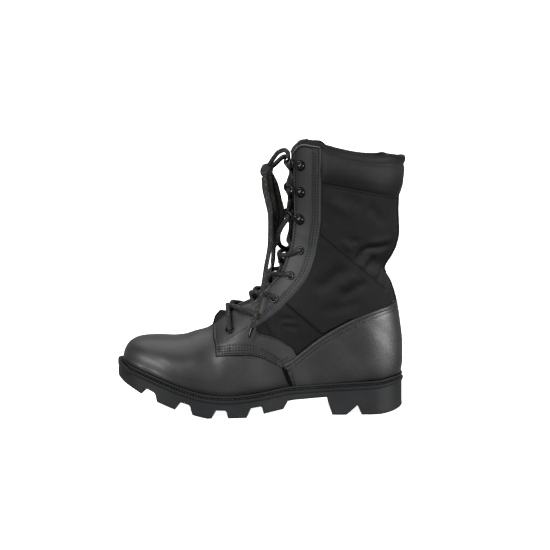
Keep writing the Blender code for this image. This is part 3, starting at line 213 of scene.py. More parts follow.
# Panel edges seen from the side, as x and z
EYESTAY_REAR = [(-8, 94), (9.7, 105.5), (23.6, 117.3), (37.5, 131.9), (47.1, 145.8), (52.6, 160),
                (56, 173.7), (58.1, 187.6), (60, 205), (60.3, 300)]
FACING_LOWER = [(-60, 63.0), (-34, 65.0), (-15.6, 65.2), (-1, 62.0), (10, 56.4), (21, 50.0), (31, 32.0)]
FACING_UPPER = [(-60, 86.0), (-20, 90.5), (-9, 89.0), (2.7, 86.7), (17.2, 81.5), (28.1, 74.1), (37, 66.5),
                (50, 55.0)]
COUNTER_TOP = [(15, 47.5), (20.6, 52.4), (37.9, 65.2), (61.5, 83.2), (72, 89.6), (93.7, 101.0),
               (120.8, 111.2), (140, 116.5), (147, 121.0), (160, 124)]
ANKLE_UPPER = [(20, 225.0), (60, 191.4), (95.7, 161.4), (129.4, 133.1), (150, 115.8)]
ANKLE_LOWER = [(0, 136.9), (24.9, 116.2), (63.3, 84.2), (90, 62.0)]
ANKLE_FRONT_X, ANKLE_BACK_X, ANKLE_LOW_X, ANKLE_HEEL_X = 61.5, 131.5, 27.0, 138.5
ANKLE_OVERLAP, ANKLE_STEPS = 3.0, 14
BACKSTAY_HALF, BACKSTAY_SIGMAS, BACKSTAY_CROWDING = 6.5, (17.6, 26.2), 1.5
FACING_LEAN, FACING_LEAN_SHARES, FACING_RISE_SIGMAS = 0.22, (0.2, 0.5), (9.35, 9.8)
REAR_START_PHI, REAR_LAST_PHI, COUNTER_SEAT = 0.02, math.pi / 2 + 0.6, 0.2
# Angles: where the search for a panel's edge starts, how far panels reach under each other, and the
# facing's least width
PANEL_START_PHI, EYESTAY_TUCK, COUNTER_TUCK, ANKLE_TUCK, FACING_LEAST = 0.3, 0.06, 0.05, 0.05, 0.01
FACING_STITCH_LINE = [(-37.4, 80.6), (-12.6, 96.1)]
HOOK_PLACES = [(38.9, 205.8), (39.5, 234.3), (39.4, 261.8)]
EYELET_PLACES = [(-34.2, 90.9), (-7.0, 105.2), (12.4, 122.9), (29.2, 146.9), (39.1, 173.3)]

# Creases seen from the side: points as x and z, height of the ridge or depth of the trough, width
Crease = namedtuple("Crease", "points height width")
CREASES = [Crease(*row) for row in [
    ([(140, 179.5), (124, 175.5), (111, 175.3), (105, 172), (101, 164.5), (97.5, 158)], -2.2, 3.0),
    ([(138, 186), (122, 182.5), (109, 181.5)], 0.9, 4.0),
    ([(119, 168), (115, 160), (112, 152)], -1.5, 2.6),
    ([(111, 168), (106.5, 161), (103, 154)], 0.9, 2.8),
    ([(95, 188), (97, 180)], -0.8, 3.0),
    ([(84, 185), (92, 172)], 0.8, 3.5),
    ([(129, 156), (122.5, 139)], -1.2, 2.2),
    ([(125, 158), (117, 143)], 0.7, 2.4),
    ([(132, 149), (130, 129)], -0.9, 2.0),
    ([(89, 158), (67, 139), (53, 131)], -1.7, 6.5),
    ([(98, 150), (80, 133)], 0.9, 5.0),
    ([(110, 142), (96, 132), (80, 123)], -1.1, 4.6),
    ([(60, 108), (84, 114), (104, 120)], -0.7, 5.5),
    ([(14, 101.5), (26, 102.5), (37, 101)], -0.9, 2.2),
    ([(8, 99), (24, 95.5), (40, 91)], -1.0, 2.4),
    ([(16, 97.5), (32, 97)], 0.6, 2.2),
    ([(70, 227), (90, 211)], 0.6, 5.0),
    ([(84, 232), (104, 219)], -0.5, 5.0),
    ([(111, 222), (127, 200)], -0.7, 5.0),
    ([(66, 226), (64.5, 196)], -0.6, 3.6),
    ([(-62, 74), (-55, 58), (-44, 44)], -0.15, 7.0),
    ([(-76, 70), (-70, 52)], 0.12, 7.0),
]]
MEDIAL_SHIFT, MEDIAL_SHARE, CREASE_SHARE = (3.0, -4.0), 0.9, 2.0
CREASE_REACH, CREASE_START, CREASE_END = 2.6, (-0.05, 0.3), (0.7, 1.05)

# Routes of the free lace
LACE_ROUTES = {
    "lace_rise_lateral": [(27.4, -23.6, 269.3), (27.2, -21.4, 274.2), (23.6, -16.8, 277.4),
                          (17.8, -12.0, 275.0), (13.0, -8.4, 269.2), (8.2, -4.2, 261.5)],
    "lace_rise_medial": [(27.4, 23.4, 269.0), (25.0, 19.5, 269.2), (20.4, 13.5, 266.6), (15.2, 7.8, 262.0),
                         (9.4, 2.4, 257.6)],
    "lace_loop_lateral": [(2.3, -4.2, 248.5), (2.9, -6.0, 237.7), (5.7, -8.5, 224.5), (8.9, -11.0, 208.0),
                          (9.3, -12.0, 192.0), (9.9, -11.5, 179.5), (13.3, -9.0, 176.0), (15.1, -7.4, 181.0),
                          (14.7, -7.0, 194.0), (13.7, -6.6, 210.0), (12.5, -5.8, 226.0), (10.4, -5.0, 238.0),
                          (7.6, -3.8, 251.5)],
    "lace_loop_medial": [(9.2, 1.6, 253.6), (15.4, 1.2, 241.0), (19.6, 0.0, 224.0), (22.4, 0.0, 210.8),
                         (21.2, 0.5, 199.0), (18.0, 1.0, 189.0), (15.8, 1.5, 182.0), (14.2, 2.6, 179.6),
                         (14.0, 3.6, 184.0), (16.9, 2.6, 196.0), (18.0, 1.4, 212.0), (16.0, 1.6, 226.0),
                         (11.6, 3.0, 238.0), (7.0, 2.4, 252.0)],
    "lace_end_long": [(3.5, -9.0, 250.8), (4.7, -13.4, 237.0), (8.9, -18.5, 214.2), (8.3, -25.0, 181.9),
                      (4.0, -31.0, 155.9), (1.0, -36.5, 137.5), (-5.5, -43.5, 113.1), (-14.2, -49.0, 84.5)],
    "lace_end_short": [(5.5, 0.2, 247.9), (8.4, 0.0, 232.0), (10.6, -0.5, 215.0), (11.0, -1.0, 198.0),
                       (13.0, -3.0, 178.0), (12.6, -5.0, 166.0), (10.0, -7.5, 145.8)],
}
SLACK_PLACE = 5, -1
SLACK_ROUTE = [(36, 20, 169), (29, 12, 170.5), (22.5, 2, 173.5), (18.2, -7, 180), (17.6, -12.5, 187.5),
               (20.4, -17, 196), (24.0, -20, 202), (26, -21.5, 206), (27, -22, 208), (27.4, -22.2, 209)]
KNOT_CENTRE, KNOT_RADII, KNOT_CORE, KNOT_SWELL = (5.6, -1.6, 255.4), (7.0, 7.8, 7.8), 0.72, 0.15
# Turns of the knot: two ways across each turn and the radius along each
KNOT_TURNS = [((0.75, -0.25, 0.6), (0.1, 0.95, 0.15), 5.0, 5.8),
              ((-0.6, -0.2, 0.8), (0.2, 0.9, 0.3), 4.8, 5.6),
              ((0.1, 0.5, 0.85), (0.85, -0.45, 0.1), 5.6, 4.8)]
# The lace's tip: share of its length and radius
AGLET_PROFILE = [(0.0, 2.0), (0.07, 2.35), (0.3, 2.2), (0.7, 1.6), (0.95, 1.15), (1.0, 0.6)]

# The search for a place on the upper: its start, its reaches, its steps and its limits
LOCATE_START, LOCATE_REACHES = (17.0, 1.2), (11.0, 2.0, 0.4, 0.08, 0.015)
LOCATE_STEPS, LOCATE_TURN_STEPS, LOCATE_SIGMAS, LOCATE_PHIS = 12, 90, (6.5, 28.5), (0.1, 3.1)
# Distances within which points are joined, in metres
JOIN, FINE_JOIN = 2e-5, 1e-6
# The inside of the boot, in metres
LEG_LEVEL, LEG_X, FOOT_X, FOOT_LEVEL = 0.11, 0.085, (-0.12, 0.11), 0.045


# Curves and the shape of the last

def clamp(value, low, high):
    return max(low, min(high, value))


def mix(a, b, t):
    """The value at share t of the way from a to b."""
    return a + (b - a) * t


def ease(start, end, value):
    """0 before start, 1 after end, and a smooth step between them."""
    t = clamp((value - start) / (end - start), 0.0, 1.0)
    return t * t * (3 - 2 * t)


def bell(distance, width):
    return math.exp(-(distance / width) ** 2)


def even(count):
    return [i / count for i in range(count + 1)]


def crowded(count):
    """Shares from 0 to 1 that lie close together near both ends."""
    return [0.5 - 0.5 * math.cos(math.pi * t) for t in even(count)]


def smooth_curve(xs, ys):
    """A monotone cubic through the points, straight beyond its ends, as a function of x."""
    last = len(xs) - 1
    steps = [(ys[i + 1] - ys[i]) / (xs[i + 1] - xs[i]) for i in range(last)]
    slopes = [steps[0]]
    for before, after in zip(steps, steps[1:]):
        slopes.append(0.0 if before * after <= 0 else 2 * before * after / (before + after))
    slopes.append(steps[-1])

    def curve(x):
        if x <= xs[0]:
            return ys[0] + steps[0] * (x - xs[0])
        if x >= xs[last]:
            return ys[last] + steps[-1] * (x - xs[last])
        i = bisect_right(xs, x) - 1
        h = xs[i + 1] - xs[i]
        t = (x - xs[i]) / h
        rest = 1 - t
        return (ys[i] * (1 + 2 * t) * rest * rest + slopes[i] * h * t * rest * rest
                + ys[i + 1] * t * t * (3 - 2 * t) - slopes[i + 1] * h * t * t * rest)

    return curve


def knots(pairs):
    """A smooth curve through pairs of x and y."""
    return smooth_curve([a for a, _ in pairs], [b for _, b in pairs])


def sole_tip(x):
    """Height of the tread at x, straight between the sole's stations."""
    x = clamp(x, TOE_X, HEEL_X)
    for a, b in zip(SOLE, SOLE[1:]):
        if x <= b.x:
            return mix(a.tip, b.tip, (x - a.x) / (b.x - a.x))
    return SOLE[-1].tip


SOLE_CURVES = {name: knots([(row.x, getattr(row, name)) for row in SOLE])
               for name in ("centre", "half", "top")}


def sole_curve(column, x):
    return SOLE_CURVES[column](clamp(x, TOE_X, HEEL_X))


def feather(x):
    """Height of the welt's top, where the upper meets the sole."""
    return sole_curve("top", x)


def sole_half(x):
    half = sole_curve("half", x)
    if x < TOE_ROUND_X:
        u = (x - TOE_ROUND_X) / (TOE_X - TOE_ROUND_X)
        half *= math.sqrt(max(0.0, 1 - u * u))
    if x > HEEL_ROUND_X:
        u = (x - HEEL_ROUND_X) / (HEEL_X - HEEL_ROUND_X)
        half *= max(0.0, 1 - u ** HEEL_ROUND_POWER) ** (1 / HEEL_ROUND_POWER)
    return half


def side_stations():
    """x of the sole's cross stations: close together round the toe and the heel."""
    toe = [mix(TOE_ROUND_X, TOE_X, math.cos(i / STATION_STEPS_TOE * math.pi / 2))
           for i in range(STATION_STEPS_TOE)]
    heel = [mix(HEEL_ROUND_X, HEEL_X, math.sin(i / STATION_STEPS_HEEL * math.pi / 2))
            for i in range(1, STATION_STEPS_HEEL + 1)]
    return toe + SOLE_MIDDLE_X + heel


@lru_cache(maxsize=None)
def outline(inset):
    """The sole's outline as a closed loop: toe to heel on the lateral side, back on the medial."""
    xs = side_stations()
    loop = [(x, sole_curve("centre", x) - sole_half(x)) for x in xs]
    loop += [(x, sole_curve("centre", x) + sole_half(x)) for x in reversed(xs[1:-1])]
    moved = []
    for i, (x, y) in enumerate(loop):
        ax, ay = loop[i - 1]
        bx, by = loop[(i + 1) % len(loop)]
        along = Vector((bx - ax, by - ay)).normalized()
        moved.append((x - along.y * inset, y + along.x * inset))
    return moved


OUTLINE_YS = [y for _, y in outline(0.0)]
Y_SHIFT = -(min(OUTLINE_YS) + max(OUTLINE_YS)) / 2


def place(x, y, z):
    """A point of the tables, in metres, in the part's frame."""
    return Vector((x * MM, (y + Y_SHIFT) * MM, z * MM))


SECTION_CURVES = {name: smooth_curve(range(1, len(SECTIONS) + 1), [getattr(row, name) for row in SECTIONS])
                  for name in Section._fields}


@lru_cache(maxsize=None)
def section(sigma, inset):
    """The upper's section at sigma, moved inwards by inset. From 0 to 1 is the toe cap."""
    at = max(sigma, 1.0)
    row = {name: curve(at) for name, curve in SECTION_CURVES.items()}
    row["half"] -= inset
    top = Vector((row["top_x"], row["top_z"]))
    low = Vector((row["low_x"], row["low_z"]))
    along = (low - top).normalized()
    top += along * inset
    low -= along * inset
    if sigma < 1.0:
        angle = sigma * math.pi / 2
        x = TOE_CAP_X - (TOE_CAP_REACH - inset) * math.cos(angle)
        u = (x - TOE_ROUND_X) / (LAST_TOE_ROUND - inset)
        rear = (TOE_CAP_X - TOE_ROUND_X) / (LAST_TOE_ROUND - inset)
        row["half"] *= math.sqrt(max(0.0, 1 - u * u)) / math.sqrt(1 - rear * rear)
        base = feather(x) + UPPER_SEAT
        top = Vector((x, mix(base, top.y, math.sin(angle))))
        low = Vector((x, mix(base, low.y, math.sin(angle))))
    return row, top, low


def upper_point(sigma, phi, side, inset):
    """x, y, z on the upper: phi runs from 0 on the instep to pi under the sole or on the back."""
    row, top, low = section(sigma, inset)
    if phi < math.pi / 2:
        power = 2 / row["top_power"]
        share = row["widest"] * (1 - max(0.0, math.cos(phi)) ** power)
    else:
        power = 2 / row["low_power"]
        share = mix(row["widest"], 1, max(0.0, -math.cos(phi)) ** power)
    spread = row["half"] * max(0.0, math.sin(phi)) ** power
    at = mix(top, low, share)
    return at.x, row["centre"] + side * spread, at.y


def crease_parts():
    """The points, the length, the height and the width of each crease."""
    parts = []
    for crease in CREASES:
        ends = [Vector(p) for p in crease.points]
        total = sum((b - a).length for a, b in zip(ends, ends[1:]))
        parts.append((ends, total, crease.height * CREASE_SHARE, crease.width))
    return parts


CREASE_PARTS = crease_parts()


def crease(x, z, side):
    """Height of the soft ridges and troughs at a place seen from the side."""
    share = 1.0
    if side > 0:
        x, z, share = x - MEDIAL_SHIFT[0], z - MEDIAL_SHIFT[1], MEDIAL_SHARE
    here = Vector((x, z))
    height = 0.0
    for ends, total, peak, width in CREASE_PARTS:
        reach = width * CREASE_REACH
        if not (min(p.x for p in ends) - reach < x < max(p.x for p in ends) + reach
                and min(p.y for p in ends) - reach < z < max(p.y for p in ends) + reach):
            continue
        nearest, place_along, run = 1e9, 0.0, 0.0
        for a, b in zip(ends, ends[1:]):
            step = b - a
            t = clamp((here - a).dot(step) / step.length_squared, 0.0, 1.0)
            distance = (here - a - step * t).length
            if distance < nearest:
                nearest, place_along = distance, run + t * step.length
            run += step.length
        fade = ease(*CREASE_START, place_along / total) * (1 - ease(*CREASE_END, place_along / total))
        height += peak * share * fade * bell(nearest, width)
    return height


def skin(sigma, phi, side, lift):
    """A point on the upper with its creases, raised by lift."""
    x, y, z = upper_point(sigma, phi, side, 0.0)
    a, b, c = upper_point(sigma, phi, side, -1.0)
    rise = lift + crease(x, z, side)
    return Vector((mix(x, a, rise), mix(y, b, rise), mix(z, c, rise)))


def on_skin(sigma, phi, side, lift):
    """A point on the upper with the outward way."""
    at = skin(sigma, phi, side, lift)
    return at, (skin(sigma, phi, side, lift + 1.0) - at).normalized()


def crossing(test, low, high, steps=40):
    """Where test turns from true to false between low and high."""
    for _ in range(steps):
        middle = (low + high) / 2
        if test(middle):
            low = middle
        else:
            high = middle
    return low


def first_crossing(test, low, high, steps=48):
    """The first place from low on where test is no longer true."""
    for i in range(1, steps + 1):
        at = mix(low, high, i / steps)
        if not test(at):
            return crossing(test, mix(low, high, (i - 1) / steps), at)
    return high


@lru_cache(maxsize=None)
def throat_phi(sigma):
    """phi of the throat's edge."""
    row, _, _ = section(sigma, 0.0)
    if sigma < THROAT_SIGMA:
        return 0.0
    return math.asin((row["gap"] / row["half"]) ** (row["top_power"] / 2))


@lru_cache(maxsize=None)
def feather_phi(sigma):
    """phi where the wall meets the welt, or pi on the back of the leg."""
    def above(phi):
        x, _, z = upper_point(sigma, phi, 1, 0.0)
        return z >= feather(x) + UPPER_SEAT
    if sigma >= HEEL_SEAT_SIGMA:
        return math.pi
    most = math.pi - HEEL_SEAT_SPREAD * min(1.0, HEEL_SEAT_SIGMA - sigma)
    return min(most, crossing(above, math.pi / 2, math.pi))


EYESTAY_REAR_X = smooth_curve([z for _, z in EYESTAY_REAR], [x for x, _ in EYESTAY_REAR])
FACING_LOWER_Z, FACING_UPPER_Z = knots(FACING_LOWER), knots(FACING_UPPER)
ANKLE_LOWER_Z, ANKLE_UPPER_Z = knots(ANKLE_LOWER), knots(ANKLE_UPPER)
COUNTER_TOP_Z = knots(COUNTER_TOP)


@lru_cache(maxsize=None)
def eyestay_rear_phi(sigma):
    def ahead(phi):
        x, _, z = upper_point(sigma, phi, 1, -LEATHER_HIGH)
        return x < EYESTAY_REAR_X(z)
    return first_crossing(ahead, throat_phi(sigma) + REAR_START_PHI, REAR_LAST_PHI)


def above_edge_phi(edge_z, sigma, start):
    """phi where the section, going down from start, drops below a panel edge."""
    def above(phi):
        x, _, z = upper_point(sigma, phi, 1, -LEATHER_HIGH)
        return z > edge_z(x)
    return first_crossing(above, start, math.pi)


def locate(x, z, side, lift):
    """sigma and phi of the place on the upper that is seen from the side at x and z."""
    sigma, phi = LOCATE_START
    steps = range(-LOCATE_STEPS, LOCATE_STEPS + 1)
    for reach in LOCATE_REACHES:
        near = [(clamp(sigma + reach * i / LOCATE_STEPS, *LOCATE_SIGMAS),
                 clamp(phi + reach * j / LOCATE_TURN_STEPS, *LOCATE_PHIS)) for i in steps for j in steps]

        def miss(at):
            px, _, pz = upper_point(*at, side, -lift)
            return (px - x) ** 2 + (pz - z) ** 2

        sigma, phi = min(near, key=miss)
    return sigma, phi


def back_phi(sigma, reach):
    """phi at a distance of reach from the back seam."""
    row, _, _ = section(sigma, 0.0)
    return math.pi - math.asin((reach / row["half"]) ** (row["low_power"] / 2))


def collar_sigma(sigma, share, reach=CORNER_SHARE):
    """sigma near the collar, lowered towards the throat so that the corner there is round."""
    drop = CORNER_DROP * max(0.0, 1 - share / reach) ** 2
    return sigma - drop * ease(CUFF_SIGMA, COLLAR_SIGMA, sigma)


def surface_frame(x, z, side, lift):
    """A matrix on the upper at x and z: local Z points out, local X runs forward to the throat."""
    sigma, phi = locate(x, z, side, lift)

    def near(along, around):
        return Vector(upper_point(sigma + along, phi + around, side, -lift))

    here = near(0, 0)
    up = near(2 * PROBE, 0) - near(-2 * PROBE, 0)
    back = near(0, 2 * PROBE) - near(0, -2 * PROBE)
    out = up.cross(back).normalized()
    if out.y * side < 0:
        out = -out
    forward = (-back - out * (-back).dot(out)).normalized()
    turn = Matrix((forward, out.cross(forward), out)).transposed().to_4x4()
    return Matrix.Translation(place(*here)) @ turn, sigma, phi


# Shader maths

class Tone:
    """A socket of a material's nodes: arithmetic on it adds Math nodes."""

    def __init__(self, tree, socket):
        self.tree, self.socket = tree, socket

    def node(self, kind, settings=(), inputs=(), output=0):
        """Any other node: its type, its settings, and the values or links of its sockets."""
        made = self.tree.nodes.new(kind)
        for name, value in dict(settings).items():
            setattr(made, name, value)
        for key, value in dict(inputs).items():
            if isinstance(value, Tone):
                self.tree.links.new(value.socket, made.inputs[key])
            else:
                made.inputs[key].default_value = value
        return Tone(self.tree, made.outputs[output])

    def math(self, operation, *values):
        return self.node("ShaderNodeMath", {"operation": operation}, dict(enumerate(values)))

    def __add__(self, other):
        return self.math("ADD", self, other)

    def __sub__(self, other):
        return self.math("SUBTRACT", self, other)

    def __rsub__(self, other):
        return self.math("SUBTRACT", other, self)

    def __mul__(self, other):
        return self.math("MULTIPLY", self, other)

    __radd__ = __add__

    def sine(self):
        return self.math("SINE", self)

    def size(self):
        return self.math("ABSOLUTE", self)

    def band(self, low, high):
        """0 below low, 1 above high."""
        return self.node("ShaderNodeMapRange", {"interpolation_type": "SMOOTHSTEP"},
                         {"Value": self, "From Min": low, "From Max": high})

    def noise(self, scale, detail=3.0, roughness=0.55):
        """Soft noise over this vector, from 0 to 1."""
        return self.node("ShaderNodeTexNoise", {},
                         {"Vector": self, "Scale": scale, "Detail": detail, "Roughness": roughness})

    def cells(self, scale):
        """Distance to the nearest of scattered points, for grain."""
        return self.node("ShaderNodeTexVoronoi", {"feature": "SMOOTH_F1"},
                         {"Vector": self, "Scale": scale, "Smoothness": 0.6})

    def stretched(self, x, y, z):
        return self.node("ShaderNodeVectorMath", {"operation": "MULTIPLY"}, {0: self, 1: (x, y, z)})

    def part(self, axis):
        return self.node("ShaderNodeSeparateXYZ", {}, {0: self}, axis)

    def between(self, low, high):
        """A colour from low to high as this value goes from 0 to 1."""
        return self.node("ShaderNodeMix", {"data_type": "RGBA"},
                         {"Factor": self, 6: (*low, 1.0), 7: (*high, 1.0)}, 2)

    def tinted(self, colour):
        """The colour, scaled by this value."""
        return self.node("ShaderNodeVectorMath", {"operation": "SCALE"}, {0: colour, "Scale": self})

    def bump(self, distance, strength):
        return self.node("ShaderNodeBump", {}, {"Height": self, "Distance": distance, "Strength": strength})


NORMAL, UV, OBJECT = 1, 2, 3


def finish(name, looks, **constants):
    """A material: constants go on the shader's sockets, and looks(places) gives what varies."""
    material = bpy.data.materials.new(name)
    material.use_nodes = True
    tree = material.node_tree
    shader = tree.nodes["Principled BSDF"]
    for key, value in constants.items():
        shader.inputs[key.replace("_", " ")].default_value = value
    coordinates = tree.nodes.new("ShaderNodeTexCoord")
    places = [Tone(tree, socket) for socket in coordinates.outputs]
    for key, tone in looks(places).items():
        tree.links.new(tone.socket, shader.inputs[key])
    return material


def shaded(looks):
    """Makes looks(places, ...) a function of its settings alone, which gives a function of places."""
    def with_settings(*settings):
        return lambda places: looks(places, *settings)
    return with_settings


@shaded
def leather_looks(places, dark, light):
    """Grained leather with pores, fine wrinkles and scuffs."""
    at = places[OBJECT]
    patches = at.noise(38.0, 4.0)
    pores = at.cells(1150.0)
    wrinkles = at.noise(420.0, 5.0, 0.62)
    grain = pores * 0.7 + wrinkles * 0.5
    scuffs = (at.stretched(1.0, 1.0, 2.2).noise(210.0, 6.0, 0.7)).band(0.6, 0.78)
    return {"Base Color": (patches * 0.75 + scuffs * 0.25).band(0.2, 0.85).between(dark, light),
            "Roughness": 0.36 + patches * 0.12 + wrinkles * 0.1 + scuffs * 0.08,
            "Normal": grain.bump(0.0004, 0.32)}


@shaded
def eyestay_painted_light_looks(places, dark, light):
    """The leather with painted light and shade: darker towards its top and paler towards its foot, as light
    falls on it.
    """
    made = leather_looks(dark, light)(places)
    # Painted light and shade: the colour darkens towards the top of the eyestay and pales towards its foot.
    height = places[OBJECT].part(2).band(0.255, 0.13)
    made["Base Color"] = (0.1 + height * 1.95).tinted(made["Base Color"])
    made["Roughness"] = made["Roughness"] + (1 - height) * 0.1
    return made


@shaded
def weave_looks(places, dark, light, pitch):
    """Coarse cloth with painted light, paler where it faces up and darker where it faces down, and painted
    shade that darkens it towards the sole.
    """
    at = places[UV]
    turn = math.pi / (pitch * MM)
    warp = (at.part(0) * turn).sine()
    weft = (at.part(1) * turn).sine()
    over = (warp * weft).band(-0.25, 0.25)
    threads = over * warp.size() + (1 - over) * weft.size()
    slubs = at.stretched(1.0, 6.0, 1.0).noise(190.0, 3.0) + at.stretched(6.0, 1.0, 1.0).noise(190.0, 3.0)
    cloud = places[OBJECT].noise(46.0, 4.0)
    shade = threads * 0.35 + slubs * 0.3 + cloud * 0.35
    # Painted light: the colour is paler where the cloth faces up and darker where it faces down.
    dust_and_painted_light = 0.4 + places[NORMAL].part(2).band(-0.5, 1.0) * 1.3
    # Painted shade: the colour is darker towards the sole.
    painted_low_shade = 0.6 + places[OBJECT].part(2).band(0.07, 0.16) * 0.4
    return {"Base Color": (dust_and_painted_light * painted_low_shade).tinted(shade.band(0.2, 0.95).between(dark, light)),
            "Roughness": 0.66 + slubs * 0.09,
            "Normal": (threads + slubs * 0.5).bump(0.00035, 0.45)}


@shaded
def rib_looks(places, dark, light, pitch):
    """Ribbed cloth with a painted highlight band along its roll and painted shade along its rim."""
    at = places[UV]
    ribs = (at.part(1) * (math.pi / (pitch * MM))).sine().size()
    fuzz = at.stretched(1.0, 5.0, 1.0).noise(420.0, 3.0)
    cloud = places[OBJECT].noise(40.0, 3.0)
    # Painted light: a highlight band along the cuff's roll, and painted shade along its rim, both slanted
    # with the rim.
    level = places[OBJECT].part(2) + places[OBJECT].part(0) * CUFF_SLOPE
    painted_highlight_and_rim_shade = (0.45 + level.band(0.259, 0.281) * 1.1) * (1 - level.band(0.284, 0.291) * 0.75)
    tone = (ribs * 0.3 + fuzz * 0.35 + cloud * 0.35).band(0.2, 0.9).between(dark, light)
    return {"Base Color": painted_highlight_and_rim_shade.tinted(tone),
            "Roughness": 0.5 + fuzz * 0.16,
            "Normal": (ribs * 0.7 + fuzz * 0.5).bump(0.0003, 0.35)}


@shaded
def rubber_looks(places, dark, light):
    """Moulded rubber, dusty towards the floor."""
    at = places[OBJECT]
    cloud = at.noise(30.0, 5.0)
    speckle = at.noise(900.0, 3.0)
    dust_and_painted_light = at.part(2).band(0.03, 0.0) * at.noise(160.0, 5.0, 0.7).band(0.4, 0.75)
    tone = (cloud * 0.6 + speckle * 0.3 + dust_and_painted_light * 0.25).band(0.25, 0.95)
    return {"Base Color": tone.between(dark, light),
            "Roughness": 0.46 + cloud * 0.14 + speckle * 0.12,
            "Normal": (speckle + cloud * 0.4).bump(0.00025, 0.35)}


@shaded
def braid_looks(places, dark, light):
    """A round braid with pale flecks."""
    at = places[UV]
    across, along = at.part(0), at.part(1)
    turn = 2 * math.pi * 8 / LACE_CIRCUMFERENCE
    left = (across * turn + along * BRAID_TURN).sine()
    right = (across * turn - along * BRAID_TURN).sine()
    braid = (left * right).size()
    flecks = (at.stretched(1.0, 0.5, 1.0).noise(620.0, 2.0)).band(0.56, 0.7)
    return {"Base Color": (braid * 0.4 + flecks * 0.7).band(0.1, 1.05).between(dark, light),
            "Roughness": 0.62 + braid * 0.15,
            "Normal": (braid + flecks * 0.3).bump(0.0005, 0.6)}


@shaded
def nap_looks(places, dark, light):
    """Brushed cloth."""
    at = places[OBJECT]
    nap = at.noise(700.0, 4.0, 0.7)
    cloud = at.noise(34.0, 3.0)
    return {"Base Color": (nap * 0.5 + cloud * 0.5).band(0.2, 0.85).between(dark, light),
            "Roughness": 0.8 + nap * 0.15,
            "Normal": nap.bump(0.0003, 0.5)}


@shaded
def enamel_looks(places, dark, light):
    """Glossy enamel, slightly worn."""
    at = places[OBJECT]
    cloud = at.noise(120.0, 3.0)
    wear = at.noise(420.0, 6.0, 0.7).band(0.58, 0.75)
    return {"Base Color": (cloud * 0.6 + wear * 0.4).band(0.2, 0.9).between(dark, light),
            "Roughness": 0.1 + wear * 0.08 + cloud * 0.06,
            "Normal": cloud.bump(0.0001, 0.2)}


@shaded
def thread_looks(places, dark, light):
    """Twisted thread."""
    ply = places[OBJECT].noise(1500.0, 2.0)
    return {"Base Color": ply.band(0.3, 0.7).between(dark, light), "Roughness": 0.5 + ply * 0.2,
            "Normal": ply.bump(0.0002, 0.4)}


@shaded
def floor_looks(places, dark, light):
    """Matt pale paper."""
    paper = places[OBJECT].noise(14.0, 4.0)
    return {"Base Color": paper.band(0.2, 0.8).between(dark, light), "Roughness": 0.75 + paper * 0.1}


LACE_CIRCUMFERENCE, BRAID_TURN, CUFF_SLOPE = 2 * math.pi * LACE_RADIUS * MM, 2600.0, 0.15
LEATHER = finish("charcoal_leather", leather_looks((0.0027, 0.0029, 0.0029), (0.0084, 0.0088, 0.0087)),
                 Specular_IOR_Level=0.33, Coat_Weight=0.08, Coat_Roughness=0.28)
# The eyestay's leather, with painted light and shade that darkens its top and pales its foot.
EYESTAY_PAINTED_LIGHT_LEATHER = finish("eyestay_leather_painted_light", eyestay_painted_light_looks((0.006, 0.0062, 0.0066), (0.0155, 0.0159, 0.0166)),
                         Specular_IOR_Level=0.2)
# Near-black leather for the tongue: partly its own dark colour, partly painted shade for the throat it lies
# in.
TONGUE_SHADED_LEATHER = finish("tongue_leather_painted_shade", leather_looks((0.001, 0.001, 0.001), (0.003, 0.003, 0.003)),
                        Specular_IOR_Level=0.08)
CLOTH = finish("black_nylon_weave", weave_looks((0.0023, 0.0023, 0.0023), (0.012, 0.012, 0.0121), 0.95),
               Specular_IOR_Level=0.06)
CUFF_CLOTH = finish("ribbed_cuff_cloth", rib_looks((0.0022, 0.0022, 0.0022), (0.0094, 0.0094, 0.0093), 1.25),
                    Specular_IOR_Level=0.1)
LINING = finish("brushed_lining", nap_looks((0.005, 0.005, 0.005), (0.015, 0.015, 0.015)),
                Specular_IOR_Level=0.12)
RUBBER = finish("moulded_rubber", rubber_looks((0.0034, 0.0036, 0.004), (0.0108, 0.0114, 0.0124)),
                Specular_IOR_Level=0.17)
ENAMEL = finish("black_enamel", enamel_looks((0.002, 0.002, 0.002), (0.006, 0.006, 0.006)),
                Specular_IOR_Level=0.15, Coat_Weight=0.03, Coat_Roughness=0.05)
LACE = finish("braided_lace", braid_looks((0.007, 0.007, 0.0066), (0.075, 0.074, 0.068)),
              Specular_IOR_Level=0.15)
THREAD = finish("dark_thread", thread_looks((0.0005, 0.0005, 0.0005), (0.0025, 0.0025, 0.0025)),
                Specular_IOR_Level=0.03)
WELT_THREAD = finish("welt_thread", thread_looks((0.005, 0.005, 0.005), (0.016, 0.016, 0.016)))
PIPING = finish("grey_piping", thread_looks((0.03, 0.03, 0.03), (0.075, 0.075, 0.074)))
FLOOR = finish("pale_floor", floor_looks((0.86, 0.86, 0.86), (0.9, 0.9, 0.9)),
               Emission_Color=(1.0, 1.0, 1.0, 1.0), Emission_Strength=0.95)


# Meshes

def set_uv(bm, spots):
    """Gives each face corner the place in UV of its vertex."""
    layer = bm.loops.layers.uv.verify()
    for face in {face for vert in spots for face in vert.link_faces}:
        for loop in face.loops:
            loop[layer].uv = spots[loop.vert]


